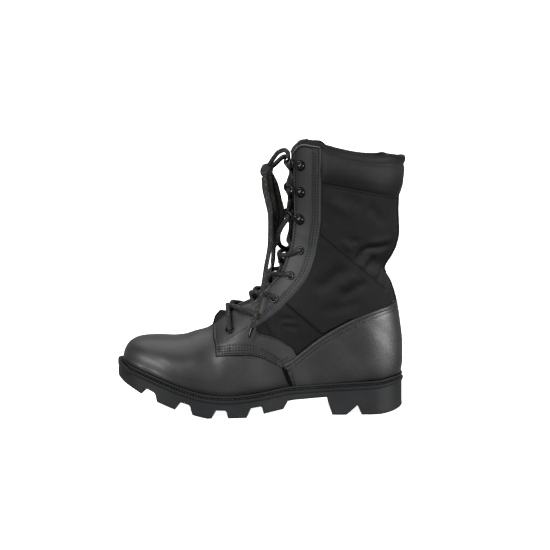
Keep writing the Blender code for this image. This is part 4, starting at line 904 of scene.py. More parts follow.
def add_grid(bm, us, vs, point, sign=1.0):
    """Adds a sheet with its vertex at u, v on point(u, v). U runs round from the last column, V is height."""
    columns, rows = len(us) - 1, len(vs) - 1
    table = [[point(u, v) for v in vs] for u in us]
    spots = {}
    for vert in bmesh.ops.create_grid(bm, x_segments=columns, y_segments=rows, size=0.5)["verts"]:
        i, j = round((vert.co.x + 0.5) * columns), round((vert.co.y + 0.5) * rows)
        vert.co = place(*table[i][j])
        round_about = sum((a[j].xy - b[j].xy).length for a, b in zip(table[i:], table[i + 1:]))
        spots[vert] = Vector((sign * round_about * MM, table[i][j].z * MM))
    set_uv(bm, spots)


def halves(us, vs, point):
    """A mesh of both halves of the boot, with its vertices on point(u, v, side)."""
    bm = bmesh.new()
    for side in SIDES.values():
        add_grid(bm, us, vs, lambda u, v: point(u, v, side), side)
    return bm


def inside_point(at):
    """A point inside the boot at about the same level, to tell which way is out."""
    if at.z > LEG_LEVEL:
        return Vector((LEG_X, 0.0, at.z))
    return Vector((clamp(at.x, *FOOT_X), 0.0, FOOT_LEVEL))


def close_holes(bm):
    bmesh.ops.holes_fill(bm, edges=[edge for edge in bm.edges if edge.is_boundary], sides=0)


def tidy(bm, joined=JOIN):
    """Joins points that coincide and turns the faces outwards."""
    bmesh.ops.remove_doubles(bm, verts=bm.verts, dist=joined)
    bmesh.ops.dissolve_degenerate(bm, dist=1e-7, edges=bm.edges)
    bmesh.ops.recalc_face_normals(bm, faces=bm.faces)
    if any(edge.is_boundary for edge in bm.edges):
        outward = sum(face.calc_area() * face.normal.dot(middle - inside_point(middle))
                      for face in bm.faces for middle in [face.calc_center_median()])
        if outward < 0:
            bmesh.ops.reverse_faces(bm, faces=bm.faces)


def smooth_object(name, bm, *materials):
    """The finished mesh as a smooth object of the scene."""
    mesh = bpy.data.meshes.new(name)
    bm.to_mesh(mesh)
    bm.free()
    mesh.shade_smooth()
    for material in materials:
        mesh.materials.append(material)
    obj = bpy.data.objects.new(name, mesh)
    bpy.context.scene.collection.objects.link(obj)
    return obj


def piece(name, bm, slot, materials, *nodes, sharp=None):
    """The finished mesh as a piece of the boot that stands for the nodes given."""
    obj = smooth_object(name, bm, *materials)
    if sharp:
        obj.data.set_sharp_from_angle(angle=math.radians(sharp))
    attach(obj, "root")
    if nodes:
        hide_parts(*nodes)
    return obj


def thicken(obj, thickness, lined=False):
    """A wall on the inner side, in the second material where it is lined."""
    wall = obj.modifiers.new("wall", "SOLIDIFY")
    wall.thickness = thickness * MM
    wall.offset = -1.0
    wall.use_even_offset = False
    if lined:
        wall.material_offset = 1
        wall.material_offset_rim = 1


def turned(bm, profile, steps):
    """Spins an open or closed profile of radius and height, in millimetres, about local Z."""
    loop = [bm.verts.new((r * MM, 0, z * MM)) for r, z in profile]
    edges = [bm.edges.new((a, b)) for a, b in zip(loop, loop[1:])]
    bmesh.ops.spin(bm, geom=loop + edges, cent=(0, 0, 0), axis=(0, 0, 1), angle=2 * math.pi,
                   steps=steps, use_merge=True)


def add_tube(bm, path, radius, sides=12):
    """Adds a capped round cord along points in metres. UV runs round it and along it, in metres."""
    count = len(path)
    ways = [(path[min(i + 1, count - 1)] - path[max(i - 1, 0)]).normalized() for i in range(count)]
    across = ways[0].orthogonal().normalized()
    rims, run = [], [0.0]
    for i, way in enumerate(ways):
        across = (across - way * across.dot(way)).normalized()
        rims.append((across.copy(), way.cross(across)))
        if i:
            run.append(run[-1] + (path[i] - path[i - 1]).length)
    made = bmesh.ops.create_grid(bm, x_segments=sides, y_segments=count - 1, size=0.5)["verts"]
    spots = {}
    for vert in made:
        k, i = round((vert.co.x + 0.5) * sides), round((vert.co.y + 0.5) * (count - 1))
        size = radius(i / (count - 1)) if callable(radius) else radius
        angle = 2 * math.pi * (k % sides) / sides
        vert.co = path[i] + (rims[i][0] * math.cos(angle) + rims[i][1] * math.sin(angle)) * size * MM
        spots[vert] = Vector((LACE_CIRCUMFERENCE * k / sides, run[i]))
    set_uv(bm, spots)
    bmesh.ops.remove_doubles(bm, verts=made, dist=FINE_JOIN)
    close_holes(bm)
    bmesh.ops.recalc_face_normals(bm, faces=bm.faces)


class Panel:
    """A cut piece on the upper. spot(u, v) gives sigma and phi: u runs from front to rear, v from foot to
    top. turned_edges gives the lift to which each free edge is turned down."""

    def __init__(self, spot, side, high, turned_edges, radius=1.5, ridge=None, raised=None, seams=()):
        self.spot, self.side, self.high, self.turned = spot, side, high, turned_edges
        self.radius, self.ridge, self.raised, self.seams = radius, ridge, raised, seams
        self.scales = {}

    def bare(self, u, v, lift):
        at = skin(*self.spot(u, v), self.side, lift)
        return self.raised(at) if self.raised else at

    @staticmethod
    def from_edge(edge, along, depth):
        """u and v at a depth from an edge."""
        return {"front": (depth, along), "rear": (1 - depth, along),
                "foot": (along, depth), "top": (along, 1 - depth)}[edge]

    def distance(self, edge, u, v):
        """Millimetres from an edge."""
        depth, along = {"front": (u, v), "rear": (1 - u, v), "foot": (v, u), "top": (1 - v, u)}[edge]
        return depth * self.scale(edge, along)

    def scale(self, edge, along):
        """Millimetres for a depth of 1, close to the edge."""
        key = edge, round(along, 5)
        if key not in self.scales:
            ends = [self.bare(*self.from_edge(edge, along, depth), self.high) for depth in (0.0, PROBE)]
            self.scales[key] = max((ends[1] - ends[0]).length / PROBE, 1e-3)
        return self.scales[key]

    def lift(self, u, v):
        lift = self.high
        for edge, low in self.turned.items():
            t = clamp(self.distance(edge, u, v) / self.radius, 0.0, 1.0)
            lift = min(lift, mix(low, self.high, math.sqrt(1 - (1 - t) ** 2)))
        for edge, distance in self.seams:
            lift -= SEAM_DEPTH * bell(self.distance(edge, u, v) - distance, SEAM_WIDTH)
        return lift + (self.ridge(self, u, v) if self.ridge else 0.0)

    def point(self, u, v):
        return self.bare(u, v, self.lift(u, v))

    def row(self, edge, distance, first=0.0, last=1.0, count=60):
        """Points with the outward way, along an edge at a distance from it."""
        made = []
        for t in even(count):
            along = mix(first, last, t)
            u, v = self.from_edge(edge, along, distance / self.scale(edge, along))
            lift = self.lift(u, v)
            at = self.bare(u, v, lift)
            made.append((at, (self.bare(u, v, lift + 1.0) - at).normalized()))
        return made


def sew(name, rows, pitch, length=2.3, width=1.15, height=0.75, slot="leather", material=None):
    """Stitches along rows of points: each one a low grain that lies along its row."""
    bm = bmesh.new()
    for row in rows:
        spots = [place(*at) for at, _ in row]
        run = [0.0]
        for a, b in zip(spots, spots[1:]):
            run.append(run[-1] + (b - a).length)
        for k in range(int(run[-1] / (pitch * MM))):
            reach = (k + 0.5) * pitch * MM
            i = clamp(bisect_right(run, reach) - 1, 0, len(spots) - 2)
            share = (reach - run[i]) / max(run[i + 1] - run[i], 1e-9)
            way = (spots[i + 1] - spots[i]).normalized()
            out = (row[i][1] - way * row[i][1].dot(way)).normalized()
            turn = Matrix((way, out.cross(way), out)).transposed().to_4x4()
            size = Matrix.Diagonal((length / 2 * MM, width / 2 * MM, height / 2 * MM, 1))
            grain = bmesh.ops.create_icosphere(bm, subdivisions=1, radius=1.0)["verts"]
            spot = Matrix.Translation(spots[i].lerp(spots[i + 1], share)) @ turn @ size
            bmesh.ops.transform(bm, matrix=spot, verts=grain)
    piece(name, bm, slot, [material or THREAD])


def edge_cord(name, rows, radius, slot, material):
    """Thin cords along rows of points: a seam's dark line, a painted shadow line along a panel's edge, or a
    piping.
    """
    bm = bmesh.new()
    for row in rows:
        add_tube(bm, [place(*at) for at, _ in row], radius, sides=6)
    piece(name, bm, slot, [material])


# Camera, light and floor

CAMERA_DISTANCE, CAMERA_HEIGHT, CAMERA_TURN, CAMERA_TILT = 1.55, 0.335, math.radians(-2), math.radians(7.018)
CAMERA_AIM_X, CAMERA_LENS, CAMERA_SENSOR = 0.0145, 96.07, 36.0
SWEEP_START, SWEEP_RADIUS, FLOOR_HALF, FLOOR_STEPS = 0.9, 1.2, 6.0, 120
LIGHT_AIM, WORLD_STRENGTH = (0.0, 0.0, 0.12), 0.44
# Softboxes: place, width and height in metres, power in watts
LIGHTS = [("top_light", (-0.05, 0.35, 1.4), (2.0, 1.4), 24.0),
          ("left_light", (-1.3, -1.05, 0.34), (1.0, 0.4), 32.0),
          ("right_light", (1.3, -0.95, 0.26), (1.0, 0.48), 45.0),
          ("spark_light", (-0.75, -1.5, 1.15), (0.4, 0.4), 22.0)]


def set_camera():
    lens = bpy.data.cameras.new("camera")
    lens.lens = CAMERA_LENS
    lens.sensor_width = CAMERA_SENSOR
    camera = bpy.data.objects.new("camera", lens)
    camera.location = (CAMERA_AIM_X + CAMERA_DISTANCE * math.sin(CAMERA_TURN),
                       -CAMERA_DISTANCE * math.cos(CAMERA_TURN), CAMERA_HEIGHT)
    camera.rotation_euler = (math.pi / 2 - CAMERA_TILT, 0.0, CAMERA_TURN)
    bpy.context.scene.collection.objects.link(camera)
    bpy.context.scene.camera = camera


def softbox(name, spot, size, power):
    light = bpy.data.lights.new(name, "AREA")
    light.shape = "RECTANGLE"
    light.size, light.size_y = size
    light.energy = power
    lamp = bpy.data.objects.new(name, light)
    lamp.location = spot
    lamp.rotation_euler = (Vector(LIGHT_AIM) - Vector(spot)).to_track_quat("-Z", "Y").to_euler()
    bpy.context.scene.collection.objects.link(lamp)


def set_studio():
    scene = bpy.context.scene
    scene.view_settings.view_transform = "Standard"
    world = bpy.data.worlds.new("studio")
    world.use_nodes = True
    sky = world.node_tree.nodes["Background"].inputs
    sky["Color"].default_value = (1.0, 1.0, 1.0, 1.0)
    sky["Strength"].default_value = WORLD_STRENGTH
    scene.world = world
    for light in LIGHTS:
        softbox(*light)
    bm = bmesh.new()
    bmesh.ops.create_grid(bm, x_segments=2, y_segments=FLOOR_STEPS, size=FLOOR_HALF)
    for vert in bm.verts:
        turn = clamp((vert.co.y - SWEEP_START) / SWEEP_RADIUS, 0.0, math.pi / 2)
        beyond = max(0.0, vert.co.y - SWEEP_START - SWEEP_RADIUS * math.pi / 2)
        if turn > 0:
            vert.co.y = SWEEP_START + SWEEP_RADIUS * math.sin(turn)
            vert.co.z = SWEEP_RADIUS * (1 - math.cos(turn)) + beyond
    floor = smooth_object("floor", bm, FLOOR)
    floor.visible_diffuse = False
    floor.visible_glossy = False


# Lace

def smooth_path(route, spacing):
    """Points in metres on a smooth curve through a route."""
    ends = [Vector(p) for p in route]
    run = [0.0]
    for a, b in zip(ends, ends[1:]):
        run.append(run[-1] + (b - a).length)
    axes = [smooth_curve(run, [p[k] for p in ends]) for k in range(3)]
    count = max(6, round(run[-1] / spacing))
    return [place(*(axis(run[-1] * t) for axis in axes)) for t in even(count)]


def path_length(path):
    return sum((b - a).length for a, b in zip(path, path[1:]))


def make_knot():
    """The bow's knot: a wrap over two crossing turns."""
    bm = bmesh.new()
    centre = Vector(KNOT_CENTRE)
    for first, second, long, short in KNOT_TURNS:
        a, b = Vector(first).normalized(), Vector(second)
        b = (b - a * b.dot(a)).normalized()
        ring = [centre + a * long * math.cos(2 * math.pi * t) + b * short * math.sin(2 * math.pi * t)
                for t in even(40)]
        add_tube(bm, [place(*p) for p in ring], LACE_RADIUS + KNOT_SWELL)
    core = bmesh.ops.create_icosphere(bm, subdivisions=2, radius=1.0)["verts"]
    size = Matrix.Diagonal((*(KNOT_CORE * r * MM for r in KNOT_RADII), 1))
    bmesh.ops.transform(bm, matrix=Matrix.Translation(place(*KNOT_CENTRE)) @ size, verts=core)
    return piece("lace_knot_wraps", bm, "lace_cord", [LACE], "lace_knot")


def make_aglet(name, path):
    """The stiff tip of a lace: a sleeve over its last stretch that narrows to a blunt point."""
    bm = bmesh.new()
    add_tube(bm, path, knots(AGLET_PROFILE))
    return piece(name, bm, "lace_cord", [ENAMEL])


def make_free_lace():
    knot = make_knot()
    for name, route in LACE_ROUTES.items():
        path = smooth_path(route, RING_SPACING)
        tip = path[-AGLET_RINGS - 2:]
        if "end" in name:
            path = path[:-AGLET_RINGS]
        bm = bmesh.new()
        add_tube(bm, path, LACE_RADIUS)
        cord = piece(f"{name}_cord", bm, "lace_cord", [LACE], name)
        if "rise" in name:
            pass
        elif "end" in name:
            make_aglet(f"{name}_aglet", tip)
        tuple(path[0])
        round(path_length(path), 4)
        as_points(path)


TONGUE_SINK_CURVE = knots(TONGUE_SINK)


def tongue_padding(sigma):
    return CUFF_PADDING * ease(*CUFF_PADDING_SIGMAS, sigma)


def throat_offset_phi(sigma, clearance):
    """phi inside the throat, at a distance of clearance from its edge."""
    row, _, _ = section(sigma, -LACE_LIFT)
    return math.asin(((row["gap"] - clearance) / row["half"]) ** (row["top_power"] / 2))


def strand_route(start, end, side, over, bar=False):
    """Points of a strand: under one edge of the throat at start, over the other edge at end."""
    route = []
    for t in even(26):
        sigma = mix(start[0], end[0], t ** STRAND_BOW)
        turn = mix(-start[1], end[1], t)
        row, _, _ = section(sigma, 0.0)
        _, y, _ = upper_point(sigma, abs(turn), 1, 0.0)
        reach = (y - row["centre"]) / row["gap"]
        sunk = max(0.0, TONGUE_SINK_CURVE(sigma)) * (1 - ease(0.0, 1.0, reach))
        lift = LACE_RADIUS - WALL - TONGUE_SLACK - tongue_padding(sigma) - sunk
        if turn > 0 or bar:
            lift = mix(lift, LACE_LIFT, ease(*STRAND_LIFT_SHARES, reach))
            lift += LACE_EYELET_RISE * ease(*STRAND_RISE_REACH, y - row["centre"] - row["gap"])
        lift += over * 2 * LACE_RADIUS * bell(y - row["centre"], STRAND_WIDTH)
        route.append(Vector(upper_point(sigma, abs(turn), side * (1 if turn > 0 else -1), -lift)))
    return route


def ring_centre(frame_matrix):
    """The middle of a hook's ring, in millimetres of the tables."""
    at = frame_matrix @ Vector((HOOK_REACH * MM, 0, HOOK_TAB_THICKNESS / 2 * MM)) / MM
    return Vector((at.x, at.y - Y_SHIFT, at.z))


def into_eyelet(route, level, side):
    """The route, led down into the eyelet at its end."""
    sigma, phi = level
    hole = [Vector(upper_point(sigma, phi, side, -lift)) for lift in EYELET_LEAD]
    return route[:-2] + hole


def make_strands(levels):
    """The lace through the eyelets and the hooks' rings."""
    eyelets = [(sigma, phi) for sigma, phi, _ in levels]
    bm = bmesh.new()
    bar = strand_route(eyelets[0], eyelets[0], 1, BAR_OVER, True)
    bar = into_eyelet(into_eyelet(bar, eyelets[0], 1)[::-1], eyelets[0], -1)
    add_tube(bm, smooth_path(bar, RING_SPACING), LACE_RADIUS)
    piece("lace_bar_cord", bm, "lace_cord", [LACE], "lace_bar")
    for k in range(1, len(levels)):
        low, high = eyelets[k - 1], eyelets[k]
        from_hook, to_hook = low[0] > HOOK_LEVEL_SIGMA, high[0] > HOOK_LEVEL_SIGMA
        sigma = mix(low[0], high[0], STRAND_START)
        start = sigma, throat_phi(sigma) + STRAND_TUCK
        if from_hook:
            start = sigma, throat_offset_phi(sigma, HOOK_CLEARANCE)
        end = (high[0], throat_offset_phi(high[0], HOOK_CLEARANCE)) if to_hook else high
        bm = bmesh.new()
        for side in SIDES.values():
            over = (side > 0) == (k % 2 > 0) and k != SLACK_PLACE[0]
            route = strand_route(start, end, side, STRAND_OVER if over else STRAND_UNDER)
            if (k, side) == SLACK_PLACE:
                route = [Vector(p) for p in SLACK_ROUTE]
            if from_hook:
                ring = ring_centre(levels[k - 1][2][-side])
                route = [ring + Vector((x, side * y, z)) for x, y, z in RING_LEAVE] + route[3:]
            if to_hook:
                ring = ring_centre(levels[k][2][side])
                route = route[:-3] + [ring + Vector(step) for step in RING_ENTER]
            else:
                route = into_eyelet(route, high, side)
            add_tube(bm, smooth_path(route, RING_SPACING), LACE_RADIUS)
        piece(f"lace_cross_{k}_cords", bm, "lace_cord", [LACE], f"lace_cross_{k}")


# Hardware

def make_eyelet(name, matrix):
    """A rolled rim round a dark hole."""
    bm = bmesh.new()
    rim = [(0.0, EYELET_WITHIN[0][1])] + [(EYELET_INNER + r, z) for r, z in EYELET_WITHIN]
    middle, half = (EYELET_INNER + EYELET_OUTER) / 2, (EYELET_OUTER - EYELET_INNER) / 2
    rim += [(middle - half * ROLL_SHARE * math.cos(a), ROLL_BASE + ROLL_HEIGHT * math.sin(a))
            for a in (math.pi * t for t in even(8))][1:]
    rim += [(EYELET_OUTER + r, z) for r, z in EYELET_BEYOND]
    turned(bm, rim, 28)
    tidy(bm, FINE_JOIN)
    bm.transform(matrix)
    piece(f"{name}_rim", bm, "black_metal", [ENAMEL], name)


def make_hook(name, matrix):
    """A domed rivet on a bevelled tab, with a wire ring fixed to the tab's end."""
    bm = bmesh.new()
    tab = bmesh.ops.create_cube(bm, size=1.0)["verts"]
    length = HOOK_REACH - HOOK_RING_RADIUS + HOOK_RING_WIRE * HOOK_TAB_OVERLAP
    size = Matrix.Diagonal((length * MM, HOOK_TAB_WIDTH * MM, HOOK_TAB_THICKNESS * MM, 1))
    middle = Matrix.Translation((length / 2 * MM, 0, HOOK_TAB_THICKNESS / 2 * MM))
    bmesh.ops.transform(bm, matrix=middle @ size, verts=tab)
    bmesh.ops.bevel(bm, geom=list(bm.edges), offset=HOOK_TAB_BEVEL * MM, affect="EDGES", segments=2,
                    profile=0.5, material=-1)
    dome = [(0.0, HOOK_DOME_HEIGHT)]
    dome += [(HOOK_DOME_RADIUS * math.sin(a),
              HOOK_DOME_HEIGHT * math.cos(a) ** HOOK_DOME_POWER + HOOK_DOME_BASE)
             for a in (math.pi / 2 * t for t in even(10))][1:]
    dome += [(HOOK_DOME_RADIUS + r, z) for r, z in HOOK_DOME_FOOT] + [(0.0, HOOK_DOME_FOOT[-1][1])]
    turned(bm, dome, 28)
    wire = [(HOOK_RING_RADIUS + HOOK_RING_WIRE * math.cos(a), HOOK_RING_WIRE * math.sin(a))
            for a in (2 * math.pi * t for t in even(10))]
    before = set(bm.verts)
    turned(bm, wire, 26)
    ring = [vert for vert in bm.verts if vert not in before]
    bmesh.ops.translate(bm, vec=(HOOK_REACH * MM, 0, HOOK_TAB_THICKNESS / 2 * MM), verts=ring)
    tidy(bm, FINE_JOIN)
    bm.transform(matrix)
    piece(f"{name}_rivet", bm, "black_metal", [ENAMEL], name, sharp=40)


def make_hardware():
    """Eyelets and hooks on both sides. Returns each level's sigma, phi and the frames of its two sides."""
    levels = []
    for places, seat, make, word in ((EYELET_PLACES, EYELET_SEAT, make_eyelet, "eyelet"),
                                     (HOOK_PLACES, HOOK_SEAT, make_hook, "hook")):
        for k, (x, z) in enumerate(places, 1):
            frames = {}
            for side_name, side in SIDES.items():
                frames[side], sigma, phi = surface_frame(x, z, side, seat)
                make(f"{word}_{side_name}_{k}", frames[side])
            levels.append((sigma, phi, frames))
    return levels


# Sole

def bumper(x):
    """Share of the toe bumper at x: the sole rises in front of the welt."""
    return ease(*BUMPER_X, x)


def outline_band(bm, levels, point_at):
    """Adds a closed band round the sole: point_at gives the point of a place of the outline and a level."""
    count, last = len(outline(0.0)), len(levels) - 1

    def point(u, v):
        return point_at(round(u * count) % count, levels[round(v * last)])

    add_grid(bm, even(count), even(last), point)


def sole_point(i, level):
    """A point of the sole's outline at one level. The toe bumper bulges in front."""
    share = bumper(outline(0.0)[i][0])
    inset = level[0]
    if inset < BUMPER_INSET:
        inset = round(inset * (1 - BUMPER_SQUEEZE * share), 3)
    x, y = outline(inset)[i]
    low = level[2] is not None and level[2] < BUMPER_STEP
    return Vector((x - BUMPER_BULGE * share * (0.0 if low else 1.0), y, sole_height(x, level)))


def sole_height(x, level):
    _, below, above = level
    if below is None:
        return sole_tip(x) + above
    rise = BUMPER_RISE * bumper(x) * (1 - ease(0.0, BUMPER_DEPTH, below))
    return feather(x) - WELT_THICKNESS - SEAT_GAP - below + rise


def sole_face(bm, level, columns=6):
    """Adds the face that closes the sole at one level, from the lateral to the medial edge."""
    count = len(outline(0.0))
    last = count // 2

    def point(u, v):
        i = round(v * last)
        return sole_point(i, level).lerp(sole_point((count - i) % count, level), u)

    add_grid(bm, even(columns), even(last), point)


def cutter(name, profile, shear, edge):
    """A solid for a groove: a profile in x and z, carried across the sole in a chevron."""
    bm = bmesh.new()
    levels = []
    for y in (-CUTTER_REACH, 0.0, CUTTER_REACH):
        levels.append([bm.verts.new(place(x + shear * (edge - abs(y)), y, z)) for x, z in profile])
    loops = [[bm.edges.new((a, b)) for a, b in zip(level, level[1:] + level[:1])] for level in levels]
    for a, b in zip(loops, loops[1:]):
        bmesh.ops.bridge_loops(bm, edges=a + b)
    close_holes(bm)
    bmesh.ops.recalc_face_normals(bm, faces=bm.faces)
    return smooth_object(name, bm)


def groove_profile(x, z):
    """A groove's section at the sole's edge, with a rounded root."""
    root = GROOVE_ROOT / 2
    foot = root + (GROOVE_MOUTH - GROOVE_ROOT) / 2 / LUG_DEPTH * CUTTER_DEPTH
    bow = [(x - root + ROOT_ROUND * (1 - math.cos(a)) * ROOT_LEAN, z - ROOT_ROUND * (1 - math.sin(a)))
           for a in (math.pi / 2 * t for t in even(4))]
    slope = (sole_tip(x + GROOVE_MOUTH) - sole_tip(x - GROOVE_MOUTH)) / (2 * GROOVE_MOUTH)
    flat = [(x - foot, z - CUTTER_DEPTH)] + bow
    flat += [(2 * x - a, b) for a, b in reversed(flat)]
    return [(a, b + slope * clamp(a - x, -root, root)) for a, b in flat]


def make_outsole():
    bm = bmesh.new()
    outline_band(bm, SOLE_SIDE, sole_point)
    sole_face(bm, SOLE_SIDE[0])
    sole_face(bm, SOLE_SIDE[-1])
    tidy(bm)
    sole = piece("outsole_lugs", bm, "sole_rubber", [RUBBER], "outsole")
    tools = []
    for k, (x, z) in enumerate(GROOVES, 1):
        edge = sole_half(x) - sole_curve("centre", x)
        tools.append(cutter(f"groove_tool_{k}", groove_profile(x, z), math.tan(GROOVE_SWEEP), edge))
    tools.append(cutter("heel_notch_tool", HEEL_NOTCH, 0.0, CUTTER_REACH))
    for tool in tools:
        cut = sole.modifiers.new(tool.name, "BOOLEAN")
        cut.operation = "DIFFERENCE"
        cut.solver = "EXACT"
        cut.object = tool
    bpy.context.view_layer.update()
    whole = bpy.data.meshes.new_from_object(sole.evaluated_get(bpy.context.evaluated_depsgraph_get()))
    sole.modifiers.clear()
    plain = sole.data
    sole.data = whole
    bpy.data.meshes.remove(plain)
    for tool in tools:
        bpy.data.meshes.remove(tool.data)
    whole.shade_smooth()
    whole.set_sharp_from_angle(angle=SHARP_ANGLE)
    edge = sole.modifiers.new("worn_edges", "BEVEL")
    edge.width = BEVEL_WIDTH * MM
    edge.segments = 2
    edge.limit_method = "ANGLE"
    edge.angle_limit = BEVEL_ANGLE


def welt_point(i, level):
    """A point of the welt, which draws in behind the toe bumper."""
    inset, rise = level
    base_x, _ = outline(WELT_LEAST_INSET)[i]
    if base_x > BUMPER_X[0]:
        inset = max(inset, WELT_LEAST_INSET)
    else:
        inset += WELT_DRAW_IN * bumper(base_x)
    x, y = outline(inset)[i]
    return Vector((x, y, feather(x) + rise))


def make_welt():
    bm = bmesh.new()
    outline_band(bm, WELT_SECTION + WELT_SECTION[:1], welt_point)
    tidy(bm, FINE_JOIN)
    piece("welt_strip", bm, "sole_rubber", [RUBBER], "welt")
    loop, inner = outline(WELT_STITCH_INSET), outline(WELT_STITCH_INSET + 1.0)
    row = [(Vector((x, y, feather(x) + WELT_STITCH_RISE)), Vector((x - a, y - b, 0)))
           for (x, y), (a, b) in zip(loop + loop[:1], inner + inner[:1])]
    sew("welt_stitches", [row], *WELT_STITCH, "sole_rubber", WELT_THREAD)


def make_insole():
    """The cupped footbed."""
    loop = outline(INSOLE_INSET)
    count = len(loop)
    last = count // 2
    bm = bmesh.new()

    def point(u, v):
        i = round(v * last)
        a, b = loop[i], loop[(count - i) % count]
        x, y = mix(a[0], b[0], u), mix(a[1], b[1], u)
        cup = CUP_EDGE * abs(2 * u - 1) ** CUP_POWER * ease(*CUP_EDGE_X, x)
        cup += CUP_HEEL * ease(*CUP_HEEL_X, x)
        return Vector((x, y, feather(x) + INSOLE_RISE + cup - INSOLE_SINK))

    add_grid(bm, crowded(14), even(last), point)
    tidy(bm)
    if sum(face.normal.z for face in bm.faces) < 0:
        bmesh.ops.reverse_faces(bm, faces=bm.faces)
    bed = piece("insole_footbed", bm, "lining", [LINING], "insole")
    thicken(bed, INSOLE_THICKNESS)


# Upper

def facing_lower_phi(sigma):
    return above_edge_phi(FACING_LOWER_Z, sigma, PANEL_START_PHI)


def vamp_start_phi(sigma):
    """Upper edge of the vamp: the instep, then the throat's edge, then a seam under the facing."""
    if sigma < THROAT_SIGMA:
        return 0.0
    under = facing_lower_phi(sigma) - VAMP_TUCK
    return mix(throat_phi(sigma), under, ease(*VAMP_TUCK_SIGMAS, sigma))


VAMP_SIGMA = knots([(0.0, 0.0), (0.07, 0.16), (0.14, 0.42), (0.24, 1.0), (0.62, THROAT_SIGMA - 0.001),
                    (0.625, THROAT_SIGMA + 0.001), (0.72, 7.3), (1.0, VAMP_TAIL_SIGMA)])


def vamp_point(u, v, side):
    """The vamp from its upper edge to the welt, and behind the welt where u is past 1."""
    sigma = VAMP_SIGMA(v)
    phi = mix(vamp_start_phi(sigma), feather_phi(sigma), min(u, 1.0))
    at = skin(sigma, phi, side, 0.0)
    if at.x > VAMP_TROUGH_START[0]:
        edge = bell(at.z - FACING_LOWER_Z(at.x) + VAMP_TROUGH_DROP, VAMP_TROUGH_WIDTH)
        edge *= ease(*VAMP_TROUGH_START, at.x)
        at = skin(sigma, phi, side, -VAMP_TROUGH * edge * (1 - ease(*VAMP_TROUGH_END, at.x)))
    if u > 1.0:
        at.z = feather(at.x) - VAMP_SKIRT
    return at


def make_vamp():
    bm = halves(even(88) + [VAMP_PAST_WELT], even(104), vamp_point)
    tidy(bm)
    for end in TOE_SOFT_ENDS:
        soft = [vert for vert in bm.verts if TOE_SOFT_START < vert.co.x / MM < end
                and vert.co.z / MM > feather(vert.co.x / MM) + TOE_SOFT_RISE]
        bmesh.ops.smooth_vert(bm, verts=soft, factor=0.5, use_axis_x=True, use_axis_y=True, use_axis_z=True)
    vamp = piece("vamp", bm, "leather", [LEATHER, LINING], "upper")
    thicken(vamp, VAMP_THICKNESS, lined=True)


def shaft_end_phi(sigma):
    """Lower edge of the shaft's cloth: under the facing, then at the welt and on the back of the leg."""
    under = facing_lower_phi(sigma) - SHAFT_TUCK
    return mix(under, feather_phi(sigma), ease(*SHAFT_TUCK_SIGMAS, sigma))


def shaft_point(u, v, side):
    """The shaft's cloth from the throat's edge to its lower edge."""
    sigma = mix(*SHAFT_SIGMAS, v)
    return skin(sigma, mix(throat_phi(sigma), shaft_end_phi(sigma), u), side, -CLOTH_SINK)


def make_shaft():
    bm = halves(even(64), even(130), shaft_point)
    tidy(bm)
    shaft = piece("shaft", bm, "shaft_cloth", [CLOTH, LINING], "upper")
    thicken(shaft, CLOTH_THICKNESS, lined=True)


# The cuff's section as it goes round: sigma and lift from the outer seam over the rim to the inner seam
CUFF_SECTION = [(26.0, 0.2), (26.03, 1.0), (26.14, 1.8), (26.45, 3.0), (26.85, 3.7), (27.25, 3.3),
                (27.6, 2.0), (27.72, 0.8), (27.8, 1.4), (27.92, 1.8), (28.03, 1.3), (28.09, 0.0),
                (28.07, -2.0), (27.95, -3.8), (27.6, -5.0), (27.0, -5.2), (26.4, -4.8), (26.05, -3.6),
                (25.95, -2.4), (25.98, -1.0), (26.0, 0.2)]
CUFF_STEPS = len(CUFF_SECTION) - 1
CUFF_CURVES = [smooth_curve(range(CUFF_STEPS + 1), [spot[k] for spot in CUFF_SECTION]) for k in (0, 1)]


def cuff_point(u, v, side):
    """The cuff from the throat to the back: v goes round its section."""
    sigma, lift = (curve(v * CUFF_STEPS) for curve in CUFF_CURVES)
    phi = mix(throat_phi(CUFF_MIDDLE_SIGMA) + CUFF_START_PHI, math.pi, u)
    hidden = 1 - ease(*CUFF_HIDDEN_PHI, phi - eyestay_rear_phi(CUFF_MIDDLE_SIGMA))
    if lift > 0:
        lift *= 1 - CUFF_HIDDEN_SHARE * hidden
    rise = CUFF_RISE[side] * ease(*CUFF_RISE_SIGMAS, sigma) * hidden * ease(*CUFF_RISE_PHI, phi)
    bump = RIM_BUMP * bell(phi - RIM_BUMP_PHI, RIM_BUMP_WIDTH) + RIM_BACK * ease(*RIM_BACK_PHI, phi)
    dip = RIM_DIP * bell(phi - RIM_DIP_PHI, RIM_DIP_WIDTH)
    rise += bump * ease(*RIM_SIGMAS, sigma) - dip * ease(*RIM_DIP_SIGMAS, sigma)
    return skin(collar_sigma(sigma, u, CUFF_CORNER_SHARE) + rise, phi, side, lift)


def make_cuff():
    """The padded collar: a roll of cloth from the outer seam over the rim to the inside."""
    bm = halves(even(80), even(3 * CUFF_STEPS), cuff_point)
    bmesh.ops.remove_doubles(bm, verts=bm.verts, dist=JOIN)
    close_holes(bm)
    tidy(bm)
    cuff = piece("cuff_roll", bm, "cuff_cloth", [CUFF_CLOTH], "cuff")
    rows = []
    for side in SIDES.values():
        first = eyestay_rear_phi(CUFF_SEAM_SIGMA) + CUFF_SEAM_START
        rows.append([on_skin(CUFF_SEAM_SIGMA, mix(first, math.pi, t), side, 0.0) for t in even(120)])
    sew("cuff_seam_stitches", rows, *CUFF_STITCH, "shaft_cloth")


TONGUE_SIGMA = knots([(0.0, 6.1), (0.3, 9.0), (0.6, 14.0), (0.85, 24.0), (1.0, TONGUE_TOP_SIGMA)])


